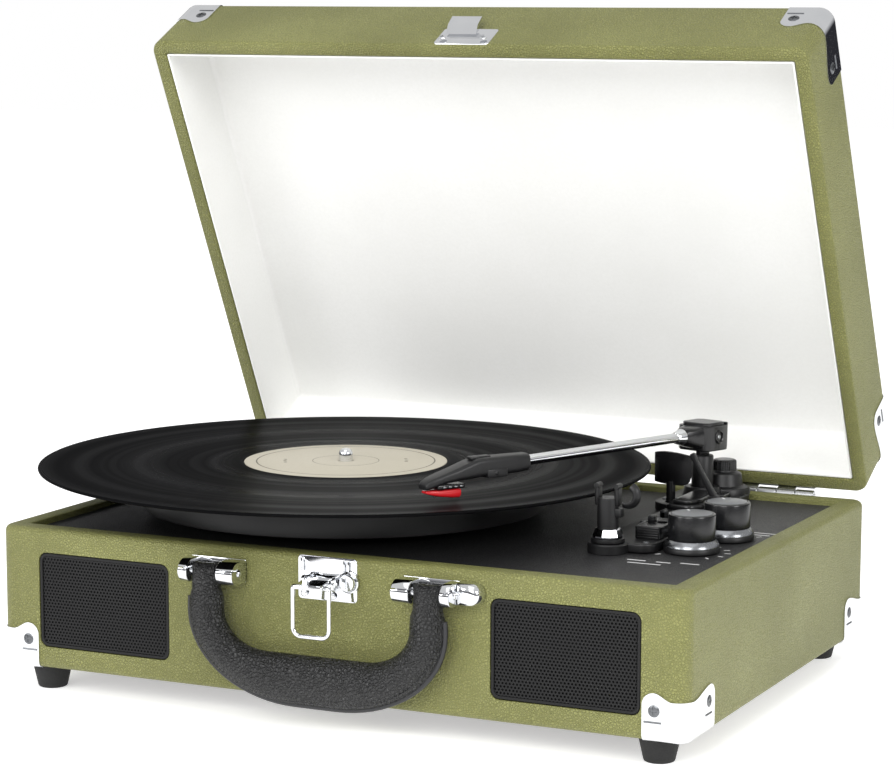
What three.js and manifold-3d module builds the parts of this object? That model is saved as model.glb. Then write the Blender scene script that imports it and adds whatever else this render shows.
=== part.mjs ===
// Suitcase record player: a covered case with a hinged lid, a belt-driven platter with a
// twelve-inch record, a tonearm with cue and rest, two speakers and the case hardware.
// Millimetres, +Z up, front towards -Y. The origin is under the middle of the whole object,
// on the surface that its four feet stand on.
import * as THREE from "three";
import * as BufferGeometryUtils from "three/addons/utils/BufferGeometryUtils.js";
import Module from "manifold-3d";

const wasm = await Module();
wasm.setup();

// ---------- driving dimensions ----------
const GAP = 0.3; // clearance between neighbouring pieces
const EPS = 1; // overshoot of a cutting solid past the face that it cuts
const DEG = Math.PI / 180;

const CASE = { width: 350, depth: 250, corner: 7, edge: 3 };
const UNDERSIDE = 10; // level of the case's underside in the drawing
const FOOT = { height: 12.2, top: 9.6, sole: 7, x: 156.5, y: 110, gap: 0.1 };
const BASE = { height: 67.5, wall: 10.5, ledge: 3, pocket: 5.8 };
const INNER_CORNER = 4; // corner radius inside the base
const BOSS_HOLE = 8.5; // hole in the deck for the platter bearing
const BASE_TOP = UNDERSIDE + BASE.height;
const DECK = { thick: 2.5, recess: 3 };
const DECK_TOP = BASE_TOP - DECK.recess;
const BOARD = { thick: 5, inset: 0.4 };

const LID = { height: 42.2, rim: 7.3, panel: 4, seam: 1, lining: 0.9, openAngle: 63.4 };
const HINGE = {
  y: 128.2, z: 76.4, radius: 2.8, leaf: 1, height: 14, length: 50, x: 122, bore: 1.3, knuckles: 5,
};

const GRILLE = { width: 70.8, height: 45.1, thick: 3, x: 117.6, z: 43.3, corner: 4 };
const SPEAKER = { hole: 17.5, flange: 25, magnet: 15, depth: 20, flangeThick: 2 };

const JACK_PANEL = { x: -20, z: 43, width: 92, height: 24, thick: 2.5 };
const JACKS = [
  { x: -34, body: 5.2, bore: 2.7, stand: 2 }, // power inlet
  { x: -14, body: 4.4, bore: 1.8, stand: 2 }, // headphones
  { x: 4, body: 4.4, bore: 1.8, stand: 2 }, // line in
  { x: 20, body: 4.2, bore: 1.6, stand: 7 }, // line out, left
  { x: 36, body: 4.2, bore: 1.6, stand: 7 }, // line out, right
];

const PLATTER = {
  x: -51, y: -6.9, radius: 100, bottom: 79.5, top: 96.8, drum: 63, drumHeight: 9.5, web: 3.3,
};
const MAT = { radius: 96, thick: 1.3 };
const RECORD = { radius: 150.5, thick: 1.5, top: 100.1, label: 50, hole: 3.8 };
const SPINDLE = { radius: 3.5, top: 106.4, bottom: 60 };
const PULLEY = { radius: 6, distance: 75, angle: 150, bottom: 84.5, top: 91.5, shaft: 1.2 };
const MOTOR = { radius: 16, height: 24 };
const BELT = { thick: 0.9, bottom: 86, height: 4 };

const KNOB = { flange: 13, waist: 11, height: 18, stem: 3 };
const KNOBS = [
  { name: "volume_knob", x: 139.5, y: -28.5 },
  { name: "source_knob", x: 143.5, y: 7.5 },
];

const ARM = {
  x: 100.5, y: 89.5, // swing axis
  angle: 15, // direction of the tube, from straight ahead towards the spindle
  lift: 1.56, // upward tilt of the raised arm, in degrees
  tubeZ: 110.5, tubeRadius: 2.5, pivotZ: 109.5,
  housingWidth: 20, housingLength: 22, housingBottom: 102.8, housingTop: 116.6,
  tubeStart: 9, tubeEnd: 147, headAngle: 18, headWidth: 11,
  pivotPin: 1.2, web: 1.5, // the yoke's cross pin, and half the thickness of its blade
};
const ARM_BASE = { bottom: DECK_TOP + GAP, top: 79.3 };
const REST_POST = { x: 105, y: -46, radius: 5, top: 106.6, forkGap: 7.4, prong: 2.2 };
const CUE = { radius: 25, wall: 2, from: -8, to: 46, top: 104.4, bottom: 88, stem: 2.4, stemAngle: 18 };
const CUE_LEVER = { x: 119, y: 59, z: 83, length: 24, lean: 30, thick: 3 };

const HANDLE = {
  pivotY: -133.5, pivotZ: 67, end: 49, endOuter: 63.5, endTop: 71.5,
  outer: 65.5, inner: 47.5, low: 9, lowInner: 33, outerBend: 38, innerBend: 16,
  thick: 13, round: 4, bore: 2.2,
};
const BRACKET = { bottom: 61.8, top: 72.5, front: -139.6, ear: 5, inner: 40, tongue: 16.5 };
const SEAT = 0.2; // gap behind hardware that is screwed to the case
const LATCH = { x: 1.4, width: 30, bottom: 57, top: 77.2, pivotY: -129.6, pivotZ: 66, reach: 11.8 };
const BAIL = { left: -8.6, right: 9.7, y: -139.4, drop: 22.8, wire: 1.1, pin: 0.95 };
const GUARD = { reach: 21, side: 32, height: 21.5, thick: 0.9, clear: 0.15, lip: 5 };

// ---------- finishes ----------
const finish = (color, roughness, metalness = 0) =>
  new THREE.MeshStandardMaterial({ color, roughness, metalness });
const LEATHERETTE = finish(0x7d7d4c, 0.62);
const WHITE_PAPER = finish(0xf2f2f0, 0.7);
const BLACK_PLASTIC = finish(0x1d1d1e, 0.42);
const BLACK_LEATHER = finish(0x222224, 0.55);
const DECK_VINYL = finish(0x202022, 0.6);
const CHROME = finish(0xd9dadc, 0.12, 1);
const STEEL = finish(0xb4b6b8, 0.3, 1);
const RUBBER = finish(0x161616, 0.8);
const VINYL = finish(0x0b0b0c, 0.2);
const LABEL_PAPER = finish(0xcfc8b8, 0.75);
const RED_PLASTIC = finish(0xc8241f, 0.35);
const BOARD_GREEN = finish(0x1f5136, 0.5);
const BARE_BOARD = finish(0x3a2f25, 0.85);

// ---------- geometry helpers ----------
/** Turn a closed three.js geometry into a manifold solid that faces outwards. */
function toSolid(geometry) {
  const bare = geometry.clone();
  bare.deleteAttribute("normal");
  bare.deleteAttribute("uv");
  const merged = BufferGeometryUtils.mergeVertices(bare, 1e-4);
  const index = merged.index.array;
  const position = merged.attributes.position;
  const corner = [new THREE.Vector3(), new THREE.Vector3(), new THREE.Vector3()];
  const triangles = [];
  let volume = 0;
  for (let i = 0; i < index.length; i += 3) {
    const [a, b, c] = [index[i], index[i + 1], index[i + 2]];
    if (a === b || b === c || c === a) continue;
    triangles.push([a, b, c]);
    [a, b, c].forEach((vertex, k) => corner[k].fromBufferAttribute(position, vertex));
    volume += corner[0].dot(corner[1].cross(corner[2]));
  }
  const turned = volume < 0 ? triangles.map(([a, b, c]) => [a, c, b]) : triangles;
  return new wasm.Manifold(new wasm.Mesh({
    numProp: 3,
    vertProperties: Float32Array.from(position.array),
    triVerts: Uint32Array.from(turned.flat()),
  }));
}

/** Turn a manifold solid back into a three.js geometry. */
function toGeometry(solid) {
  const mesh = solid.getMesh();
  const geometry = new THREE.BufferGeometry();
  geometry.setAttribute("position", new THREE.BufferAttribute(Float32Array.from(mesh.vertProperties), 3));
  geometry.setIndex([...mesh.triVerts]);
  return geometry;
}

/** Box between two opposite corners. */
function block([x0, y0, z0], [x1, y1, z1]) {
  const geometry = new THREE.BoxGeometry(x1 - x0, y1 - y0, z1 - z0);
  return toSolid(geometry.translate((x0 + x1) / 2, (y0 + y1) / 2, (z0 + z1) / 2));
}

/** Upright cylinder or cone from z0 to z1. */
function post(radius, z0, z1, x = 0, y = 0, topRadius = radius, sides = 16) {
  const geometry = new THREE.CylinderGeometry(topRadius, radius, z1 - z0, sides);
  return toSolid(geometry.rotateX(Math.PI / 2).translate(x, y, (z0 + z1) / 2));
}

/** Cylinder along X from x0 to x1. */
function rodX(radius, x0, x1, y, z, sides = 12) {
  const geometry = new THREE.CylinderGeometry(radius, radius, x1 - x0, sides);
  return toSolid(geometry.rotateZ(Math.PI / 2).translate((x0 + x1) / 2, y, z));
}

/** Cylinder along Y from y0 to y1, its radius changing from radius to farRadius. */
function rodY(radius, y0, y1, x, z, farRadius = radius, sides = 16) {
  const geometry = new THREE.CylinderGeometry(farRadius, radius, y1 - y0, sides);
  return toSolid(geometry.translate(x, (y0 + y1) / 2, z));
}

/** Solid of revolution about Z from a list of [radius, z] points. */
function turned(profile, sides = 20) {
  const points = profile.map(([radius, z]) => new THREE.Vector2(radius, z));
  return toSolid(new THREE.LatheGeometry(points, sides).rotateX(Math.PI / 2));
}

/** Rectangle with round corners about the origin. */
function roundedRectangle(width, depth, radius) {
  const [x, y] = [width / 2 - radius, depth / 2 - radius];
  const shape = new THREE.Shape();
  shape.absarc(x, y, radius, 0, Math.PI / 2);
  shape.absarc(-x, y, radius, Math.PI / 2, Math.PI);
  shape.absarc(-x, -y, radius, Math.PI, 1.5 * Math.PI);
  shape.absarc(x, -y, radius, 1.5 * Math.PI, 2 * Math.PI);
  return shape;
}

/** Shape through a list of [x, y] points. */
function polygon(points) {
  return new THREE.Shape(points.map(([x, y]) => new THREE.Vector2(x, y)));
}

/** Slab of an outline in XY from z0 to z1. */
function slab(shape, z0, z1, curveSegments = 5) {
  const geometry = new THREE.ExtrudeGeometry(shape, { depth: z1 - z0, bevelEnabled: false, curveSegments });
  return toSolid(geometry.translate(0, 0, z0));
}

/** Block with round upright corners and eased top and bottom edges. */
function easedBlock(width, depth, z0, z1, corner, edge) {
  const shape = roundedRectangle(width - 2 * edge, depth - 2 * edge, corner - edge);
  const geometry = new THREE.ExtrudeGeometry(shape, {
    depth: z1 - z0 - 2 * edge, bevelThickness: edge, bevelSize: edge, bevelSegments: 1, curveSegments: 3,
  });
  return toSolid(geometry.translate(0, 0, z0 + edge));
}

/** Slab of an outline in YZ from x0 to x1. */
function sideSlab(points, x0, x1) {
  const geometry = new THREE.ExtrudeGeometry(polygon(points), { depth: x1 - x0, bevelEnabled: false });
  geometry.rotateX(Math.PI / 2).rotateZ(Math.PI / 2);
  return toSolid(geometry.translate(x0, 0, 0));
}

/** Slab of an outline in XZ from y0 to y1. */
function frontSlab(shape, y0, y1, curveSegments = 8) {
  const geometry = new THREE.ExtrudeGeometry(shape, { depth: y1 - y0, bevelEnabled: false, curveSegments });
  return toSolid(geometry.rotateX(Math.PI / 2).translate(0, y1, 0));
}

const union = (solids) => solids.reduce((whole, piece) => whole.add(piece));
const cut = (solid, tools) => tools.reduce((rest, tool) => rest.subtract(tool), solid);

/** Put a solid into a group as a named mesh, and return the mesh. */
function addPart(group, name, solid, material) {
  const mesh = new THREE.Mesh(toGeometry(solid), material);
  mesh.name = name;
  group.add(mesh);
  return mesh;
}

const SIDES = [["left", -1], ["right", 1]];
const CORNERS = [
  ["front_left", -1, -1], ["front_right", 1, -1], ["back_left", -1, 1], ["back_right", 1, 1],
];

// ---------- case ----------
function baseShell() {
  const { width, depth, corner, edge } = CASE;
  const inner = [width - 2 * BASE.wall, depth - 2 * BASE.wall];
  const throat = [inner[0] - 2 * BASE.ledge, inner[1] - 2 * BASE.ledge];
  const deckSeat = DECK_TOP - DECK.thick - GAP;
  const boardSeat = UNDERSIDE + BASE.pocket;
  const tools = [
    slab(roundedRectangle(...inner, INNER_CORNER), deckSeat, BASE_TOP + EPS),
    slab(roundedRectangle(...throat, INNER_CORNER), boardSeat - EPS, deckSeat + EPS),
    slab(roundedRectangle(...inner, INNER_CORNER), UNDERSIDE - EPS, boardSeat),
  ];
  const recess = roundedRectangle(GRILLE.width + 2 * GAP, GRILLE.height + 2 * GAP, GRILLE.corner + GAP);
  for (const [, side] of SIDES) {
    const pocket = frontSlab(recess, -depth / 2 - EPS, -depth / 2 + GRILLE.thick + GAP, 3);
    tools.push(pocket.translate(side * GRILLE.x, 0, GRILLE.z));
    tools.push(rodY(SPEAKER.hole, -depth / 2 - EPS, -depth / 2 + 2 * BASE.wall, side * GRILLE.x, GRILLE.z));
  }
  const { x, z, width: panelWidth, height, thick } = JACK_PANEL;
  const seatShape = roundedRectangle(panelWidth + 2 * GAP, height + 2 * GAP, 2);
  const seat = frontSlab(seatShape, 0, thick + GAP + EPS, 3);
  tools.push(seat.translate(x, depth / 2 - thick - GAP, z));
  for (const jack of JACKS) {
    const hole = jack.body + 2 * GAP;
    tools.push(rodY(hole, depth / 2 - 2 * BASE.wall, depth / 2 + EPS, x + jack.x, z, hole, 12));
  }
  return cut(easedBlock(width, depth, UNDERSIDE, BASE_TOP, corner, edge), tools);
}

function bottomBoard() {
  const size = [CASE.width - 2 * BASE.wall - 2 * GAP, CASE.depth - 2 * BASE.wall - 2 * GAP];
  const low = UNDERSIDE + BOARD.inset;
  return slab(roundedRectangle(...size, INNER_CORNER - GAP), low, low + BOARD.thick);
}

function foot() {
  const { height, top, sole, gap } = FOOT;
  return turned([[0, 0], [sole - 0.8, 0], [sole, 0.8], [top, height - 1.2], [top, height - gap],
    [0, height - gap]], 16);
}

function deckPlate() {
  const size = [CASE.width - 2 * BASE.wall - 2 * GAP, CASE.depth - 2 * BASE.wall - 2 * GAP];
  const plate = slab(roundedRectangle(...size, INNER_CORNER - GAP), DECK_TOP - DECK.thick, DECK_TOP);
  const [low, high] = [DECK_TOP - DECK.thick - EPS, DECK_TOP + EPS];
  const motor = motorPlace();
  return cut(plate, [
    post(BOSS_HOLE, low, high, PLATTER.x, PLATTER.y),
    post(PULLEY.shaft + 2, low, high, motor.x, motor.y),
    ...KNOBS.map(({ x, y }) => post(KNOB.stem + 0.6, low, high, x, y)),
  ]);
}

function grille() {
  const shape = roundedRectangle(GRILLE.width, GRILLE.height, GRILLE.corner);
  return frontSlab(shape, -CASE.depth / 2 + 0.2, -CASE.depth / 2 + GRILLE.thick, 3);
}

function speaker() {
  const wall = -CASE.depth / 2 + BASE.wall + BASE.ledge + GAP;
  const flange = roundedRectangle(2 * SPEAKER.flange, 2 * SPEAKER.flange, 6);
  return union([
    frontSlab(flange, wall, wall + SPEAKER.flangeThick, 3),
    rodY(SPEAKER.flange - 3, wall + 1, wall + 12, 0, 0, SPEAKER.magnet),
    rodY(SPEAKER.magnet, wall + 11, wall + SPEAKER.depth, 0, 0),
  ]);
}

// ---------- lid, in its closed place ----------
const LID_BOTTOM = BASE_TOP + LID.seam;
const LID_TOP = LID_BOTTOM + LID.height;

function lidShell() {
  const { width, depth, corner, edge } = CASE;
  const cavity = roundedRectangle(width - 2 * LID.rim, depth - 2 * LID.rim, 3);
  return cut(easedBlock(width, depth, LID_BOTTOM, LID_TOP, corner, edge),
    [slab(cavity, LID_BOTTOM - EPS, LID_TOP - LID.panel)]);
}

function lidLining() {
  const size = [CASE.width - 2 * LID.rim - 2 * GAP, CASE.depth - 2 * LID.rim - 2 * GAP];
  const ceiling = LID_TOP - LID.panel - GAP;
  const tray = slab(roundedRectangle(...size, 2.7), LID_BOTTOM + 0.6, ceiling, 3);
  const hollow = roundedRectangle(size[0] - 2 * LID.lining, size[1] - 2 * LID.lining, 1.7);
  return cut(tray, [slab(hollow, LID_BOTTOM - EPS, ceiling - LID.lining, 3)]);
}

/** Catch plate on the lid's front with the hook that the latch's bail pulls on. */
function lidCatch() {
  const front = -CASE.depth / 2;
  const hookOutline = [[1, 9], [4.2, 13], [5.4, 19.4], [4.1, 19.6], [2.8, 14.4], [1, 13]];
  const hook = sideSlab(hookOutline.map(([out, rise]) => [front - out, LID_BOTTOM + rise]), -11.6, 4.4);
  return union([block([-15.2, front - 1.7, LID_BOTTOM + 0.4], [14, front - SEAT, LID_BOTTOM + 16]), hook]);
}

// ---------- butt hinges ----------
/** One leaf with its share of the knuckles; side +1 is the lid's leaf, -1 is the base's. */
function hingeLeaf(side) {
  const { y, z, radius, leaf, height, length, knuckles, bore } = HINGE;
  const step = length / knuckles;
  const wall = CASE.depth / 2 + SEAT;
  const far = z + side * height;
  const near = z + side * (radius + 2 * GAP);
  const [leafLow, leafHigh] = [Math.min(near, far), Math.max(near, far)];
  const pieces = [block([-length / 2, wall, leafLow], [length / 2, wall + leaf, leafHigh])];
  for (let i = 0; i < knuckles; i += 1) {
    const isMine = (i % 2 === 1) === (side > 0);
    if (!isMine) continue;
    const start = -length / 2 + i * step;
    const [x0, x1] = [start + GAP / 2, start + step - GAP / 2];
    pieces.push(rodX(radius, x0, x1, y, z));
    pieces.push(block([x0, wall, Math.min(z, near + side)], [x1, wall + leaf, Math.max(z, near + side)]));
  }
  const whole = union(pieces);
  if (side > 0) return cut(whole, [rodX(bore + GAP, -length / 2 - EPS, length / 2 + EPS, y, z)]);
  return whole.add(rodX(bore, -length / 2 + EPS, length / 2 - EPS, y, z));
}

// ---------- chrome corner guards ----------
/** Guard on one outer corner of a case half that lies between z0 and z1; isTop picks its upper corner. */
function cornerGuard(sx, sy, z0, z1, isTop) {
  const { width, depth, corner, edge } = CASE;
  const skin = (grow) => easedBlock(
    width + 2 * grow, depth + 2 * grow, z0 - grow, z1 + grow, corner + grow, edge + grow,
  );
  const shell = skin(GUARD.clear + GUARD.thick).subtract(skin(GUARD.clear));
  const [low, high] = isTop ? [z1 - GUARD.height, z1 + 2 * EPS] : [z0 - 2 * EPS, z0 + GUARD.height];
  const reachX = sx * (width / 2 - GUARD.reach);
  const reachY = sy * (depth / 2 - GUARD.side);
  const far = [sx * (width / 2 + 2 * EPS), sy * (depth / 2 + 2 * EPS)];
  const window = block(
    [Math.min(reachX, far[0]), Math.min(reachY, far[1]), low],
    [Math.max(reachX, far[0]), Math.max(reachY, far[1]), high],
  );
  const lipX = sx * (width / 2 - GUARD.lip);
  const lipY = sy * (depth / 2 - GUARD.lip);
  const bare = block(
    [Math.min(reachX - sx * EPS, lipX), Math.min(reachY - sy * EPS, lipY), isTop ? z1 : z0 - 2 * EPS],
    [Math.max(reachX - sx * EPS, lipX), Math.max(reachY - sy * EPS, lipY), isTop ? z1 + 2 * EPS : z0],
  );
  return shell.intersect(window).subtract(bare);
}

// ---------- handle ----------
function handle() {
  const { pivotY, pivotZ, end, endOuter, endTop, outer, inner } = HANDLE;
  const { low, lowInner, outerBend, innerBend, thick, round, bore } = HANDLE;
  const shoulder = pivotZ - 11;
  const [right, innerRight] = [outer - round, inner + round];
  const [bottom, innerBottom] = [low + round, lowInner - round];
  const [tip, innerTip, cap] = [endOuter - round, end + round, endTop - round];
  const shape = new THREE.Shape();
  shape.moveTo(tip, cap);
  shape.lineTo(tip, shoulder + 4);
  shape.lineTo(right, shoulder - 2);
  shape.absarc(right - outerBend, bottom + outerBend, outerBend, 0, -Math.PI / 2, true);
  shape.absarc(-right + outerBend, bottom + outerBend, outerBend, -Math.PI / 2, -Math.PI, true);
  shape.lineTo(-right, shoulder - 2);
  shape.lineTo(-tip, shoulder + 4);
  shape.lineTo(-tip, cap);
  shape.lineTo(-innerTip, cap);
  shape.lineTo(-innerTip, shoulder + 1);
  shape.lineTo(-innerRight, shoulder - 6);
  shape.absarc(-innerRight + innerBend, innerBottom + innerBend, innerBend, Math.PI, 1.5 * Math.PI);
  shape.absarc(innerRight - innerBend, innerBottom + innerBend, innerBend, -Math.PI / 2, 0);
  shape.lineTo(innerRight, shoulder - 6);
  shape.lineTo(innerTip, shoulder + 1);
  shape.lineTo(innerTip, cap);
  const geometry = new THREE.ExtrudeGeometry(shape, {
    depth: thick - 2 * round, bevelThickness: round, bevelSize: round, bevelSegments: 2, curveSegments: 5,
  });
  const body = toSolid(geometry.rotateX(Math.PI / 2).translate(0, pivotY + thick / 2 - round - 1, 0));
  const bores = SIDES.map(([, side]) => {
    const [near, far] = [side * (end - EPS), side * (endOuter + EPS)];
    return rodX(bore, Math.min(near, far), Math.max(near, far), pivotY, pivotZ);
  });
  return cut(body, bores);
}

/** Side outline of a bracket ear: flat against the case and round at the front. */
function earOutline() {
  const { bottom, top, front } = BRACKET;
  const back = -CASE.depth / 2 - SEAT;
  return [[back, bottom], [front + 4, bottom], [front + 1.2, bottom + 1.8], [front, bottom + 5],
    [front + 0.8, top - 3], [front + 3, top - 0.8], [front + 6.5, top], [back, top]];
}

/** Handle bracket: a back plate, two ears and the riveted pin that the handle hangs on. */
function handleBracket(side) {
  const { end, endOuter, pivotY, pivotZ } = HANDLE;
  const { bottom, top, ear, inner, tongue } = BRACKET;
  const back = -CASE.depth / 2 - SEAT;
  const between = (a, b) => [Math.min(side * a, side * b), Math.max(side * a, side * b)];
  const [plateLow, plateHigh] = between(inner, endOuter + ear);
  const pieces = [
    block([plateLow, back - 1.5, bottom], [plateHigh, back, top]),
    sideSlab(earOutline(), ...between(endOuter + GAP, endOuter + ear)),
    sideSlab(earOutline(), ...between(inner, end - GAP)),
    rodX(1.8, plateLow + EPS, plateHigh - EPS, pivotY, pivotZ),
  ];
  if (side > 0) {
    const height = top - bottom;
    const plate = frontSlab(roundedRectangle(2 * tongue, height, height / 2 - 0.1), back - 1.5, back, 5);
    pieces.push(plate.translate(endOuter, 0, (bottom + top) / 2));
  }
  return union(pieces);
}

// ---------- latch ----------
function latchPlate() {
  const back = -CASE.depth / 2 - SEAT;
  const { x, width, bottom, top, pivotY, pivotZ } = LATCH;
  const pieces = [block([x - width / 2, back - 1.4, bottom], [x + width / 2, back, top])];
  for (const earX of [x - 9.6, x + 5.6]) {
    pieces.push(block([earX, pivotY, pivotZ - 3.4], [earX + 1.6, back - 1, pivotZ + 3.4]));
    pieces.push(rodX(3.4, earX, earX + 1.6, pivotY, pivotZ));
  }
  pieces.push(rodX(1.1, x - 9, x + 6.6, pivotY, pivotZ));
  return union(pieces);
}

function latchLever() {
  const { x, pivotY, pivotZ, reach } = LATCH;
  const [left, right] = [x - 7.6, x + 5.2];
  const barrel = rodX(2.4, left, right, pivotY, pivotZ);
  const plate = block([left, pivotY - reach, pivotZ - 1.8], [right, pivotY - 1, pivotZ + 1.4]);
  const tab = block([BAIL.left + 1.5, pivotY - reach - 1.8, pivotZ - 0.9],
    [BAIL.right - 1.5, pivotY - reach + 1, pivotZ + 0.9]);
  return cut(union([barrel, plate, tab]), [
    rodX(1.1 + GAP, left - EPS, right + EPS, pivotY, pivotZ),
    rodX(1.25, left - EPS, right + EPS, BAIL.y, pivotZ - 0.2, 10),
  ]);
}

function latchBail() {
  const { left, right, y, drop, wire } = BAIL;
  const z = LATCH.pivotZ - 0.2;
  const inner = [LATCH.x - 6.2, LATCH.x + 3.8];
  const path = new THREE.CurvePath();
  const low = z - drop;
  const point = (px, pz) => new THREE.Vector3(px, y, pz);
  const bend = 4;
  const line = (...ends) => path.add(new THREE.LineCurve3(...ends));
  const turn = (...ends) => path.add(new THREE.QuadraticBezierCurve3(...ends));
  line(point(left, z + 0.4), point(left, low + bend));
  turn(point(left, low + bend), point(left, low), point(left + bend, low));
  line(point(left + bend, low), point(right - bend, low));
  turn(point(right - bend, low), point(right, low), point(right, low + bend));
  line(point(right, low + bend), point(right, z + 0.4));
  const section = new THREE.Shape().absarc(0, 0, wire, 0, 2 * Math.PI);
  const options = { steps: 30, extrudePath: path, curveSegments: 4 };
  const wireLoop = toSolid(new THREE.ExtrudeGeometry(section, options));
  const pins = [[left, inner[0]], [inner[1], right]].map(([x0, x1]) => rodX(BAIL.pin, x0, x1, y, z, 10));
  return union([wireLoop, ...pins]);
}

function lockCylinder() {
  const back = -CASE.depth / 2 - 1.6 - GAP;
  return cut(rodY(3.8, back - 2.6, back, 13, 66.7, 4),
    [block([12.6, back - 2.6 - EPS, 64.4], [13.4, back - 1.6, 69])]);
}

// ---------- drive ----------
function motorPlace() {
  const angle = PULLEY.angle * DEG;
  return {
    x: PLATTER.x + PULLEY.distance * Math.cos(angle),
    y: PLATTER.y + PULLEY.distance * Math.sin(angle),
  };
}

function platter() {
  const { radius, bottom, top, drum } = PLATTER;
  const web = top - PLATTER.web;
  const hub = web - PLATTER.drumHeight;
  const bore = SPINDLE.radius + GAP;
  return turned([[bore, hub], [drum, hub], [drum, web], [radius - 2.5, web], [radius - 2.5, bottom],
    [radius, bottom], [radius, top - 1.5], [radius - 1.5, top], [bore, top], [bore, hub]], 40);
}

function platterMat() {
  const [low, high] = [PLATTER.top + GAP, PLATTER.top + GAP + MAT.thick];
  const bore = RECORD.hole;
  return turned([[bore, low], [MAT.radius, low], [MAT.radius, high], [bore, high], [bore, low]], 32);
}

function record() {
  const { radius, thick, top, label, hole } = RECORD;
  const low = top - thick;
  return turned([[hole, low], [radius - 0.6, low], [radius, low + 0.5], [radius, top - 0.5],
    [radius - 0.6, top], [label + GAP, top], [label + GAP, top - 0.35], [hole, top - 0.35],
    [hole, low]], 48);
}

function recordLabel() {
  const { top, label, hole } = RECORD;
  const low = top - 0.3;
  return turned([[hole, low], [label, low], [label, top + 0.05], [hole, top + 0.05], [hole, low]], 36);
}

function spindle() {
  const { radius, top, bottom } = SPINDLE;
  return turned([[0, bottom], [radius, bottom], [radius, top - 2.6], [radius * 0.87, top - 1.2],
    [radius * 0.5, top - 0.3], [0, top]], 16);
}

function platterBearing() {
  const bore = SPINDLE.radius + GAP;
  const hub = PLATTER.top - PLATTER.web - PLATTER.drumHeight;
  const under = DECK_TOP - DECK.thick - GAP;
  return turned([[0, SPINDLE.bottom - 4], [8, SPINDLE.bottom - 4], [8, under - 2.5], [14, under - 2.5],
    [14, under], [8, under], [8, hub - GAP], [bore, hub - GAP], [bore, SPINDLE.bottom - GAP],
    [0, SPINDLE.bottom - GAP]], 20);
}

function motor() {
  const top = DECK_TOP - DECK.thick - GAP;
  const can = turned([[0, top - MOTOR.height], [MOTOR.radius, top - MOTOR.height], [MOTOR.radius, top],
    [0, top]], 20);
  return cut(can, [post(PULLEY.shaft + GAP, top - 10, top + EPS)]);
}

function motorPulley() {
  const { radius, bottom, top, shaft } = PULLEY;
  const low = DECK_TOP - DECK.thick - 8;
  return turned([[0, low], [shaft, low], [shaft, bottom], [radius + 0.8, bottom], [radius, bottom + 1],
    [radius, top - 1], [radius + 0.8, top], [0, top]], 20);
}

/** Outline of a loop round the drum and the pulley, both grown by the same amount. */
function beltOutline(grow, Kind) {
  const [big, small] = [PLATTER.drum + grow, PULLEY.radius + grow];
  const spread = Math.acos((big - small) / PULLEY.distance);
  const outline = new Kind();
  outline.absarc(0, 0, big, spread, 2 * Math.PI - spread);
  outline.absarc(PULLEY.distance, 0, small, -spread, spread);
  return outline;
}

function driveBelt() {
  const shape = beltOutline(GAP + BELT.thick, THREE.Shape);
  shape.holes.push(beltOutline(GAP, THREE.Path));
  return slab(shape, BELT.bottom, BELT.bottom + BELT.height, 14).rotate([0, 0, PULLEY.angle]);
}

// ---------- controls ----------
function knob() {
  const low = DECK_TOP + GAP;
  const top = low + KNOB.height;
  return turned([[0, low - 12], [KNOB.stem, low - 12], [KNOB.stem, low], [KNOB.flange, low],
    [KNOB.flange, low + 2.4], [KNOB.flange - 0.3, low + 3.4], [KNOB.waist, low + 5.6],
    [KNOB.waist, top - 0.6], [KNOB.waist - 0.6, top], [0, top]], 24);
}

/** Control board: the circuit board with both rotary controls soldered to it. */
function controlBoard() {
  const under = DECK_TOP - DECK.thick - 2 * GAP;
  const board = block([112, -60, under - 13], [157, 30, under - 11.4]);
  const bodies = KNOBS.map(({ x, y }) => block([x - 8, y - 8, under - 12], [x + 8, y + 8, under]));
  const bore = KNOB.stem + GAP;
  const bores = KNOBS.map(({ x, y }) => post(bore, under - 10.5, under + EPS, x, y));
  const chips = [[118, -52, 12, 8, 3], [118, -8, 9, 16, 2.5]].map(([x, y, w, d, h]) =>
    block([x, y, under - 12], [x + w, y + d, under - 11.4 + h]));
  return cut(union([board, ...bodies, ...chips]), bores);
}

// ---------- rear jacks ----------
function jackPanel() {
  const { x, z, width, height, thick } = JACK_PANEL;
  const face = CASE.depth / 2 - GAP;
  const plate = frontSlab(roundedRectangle(width, height, 2), face - thick + GAP, face, 3);
  const round = (radius, jack, y0, y1, sides) => rodY(radius, y0, y1, x + jack.x, z, radius, sides);
  const bodies = JACKS.map((jack) => round(jack.body, jack, face - 14, face + jack.stand, 12));
  const bores = JACKS.map((jack) => round(jack.bore, jack, face - 8, face + 10, 8));
  return cut(union([plate.translate(x, 0, z), ...bodies]), bores);
}

// ---------- tonearm base and its controls ----------
/** Outline of the base plate: broad under the swing axis, narrow beside the record, broad at the rest. */
function armBaseOutline() {
  return polygon([[97, -41], [100, -45], [122, -45], [126, -41], [126, -14], [118.2, -8], [118.2, 56],
    [120.4, 59], [120.4, 106], [113, 113.5], [91, 113.5], [84, 106], [84, 65], [91, 57.6], [97, 55]]);
}

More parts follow.
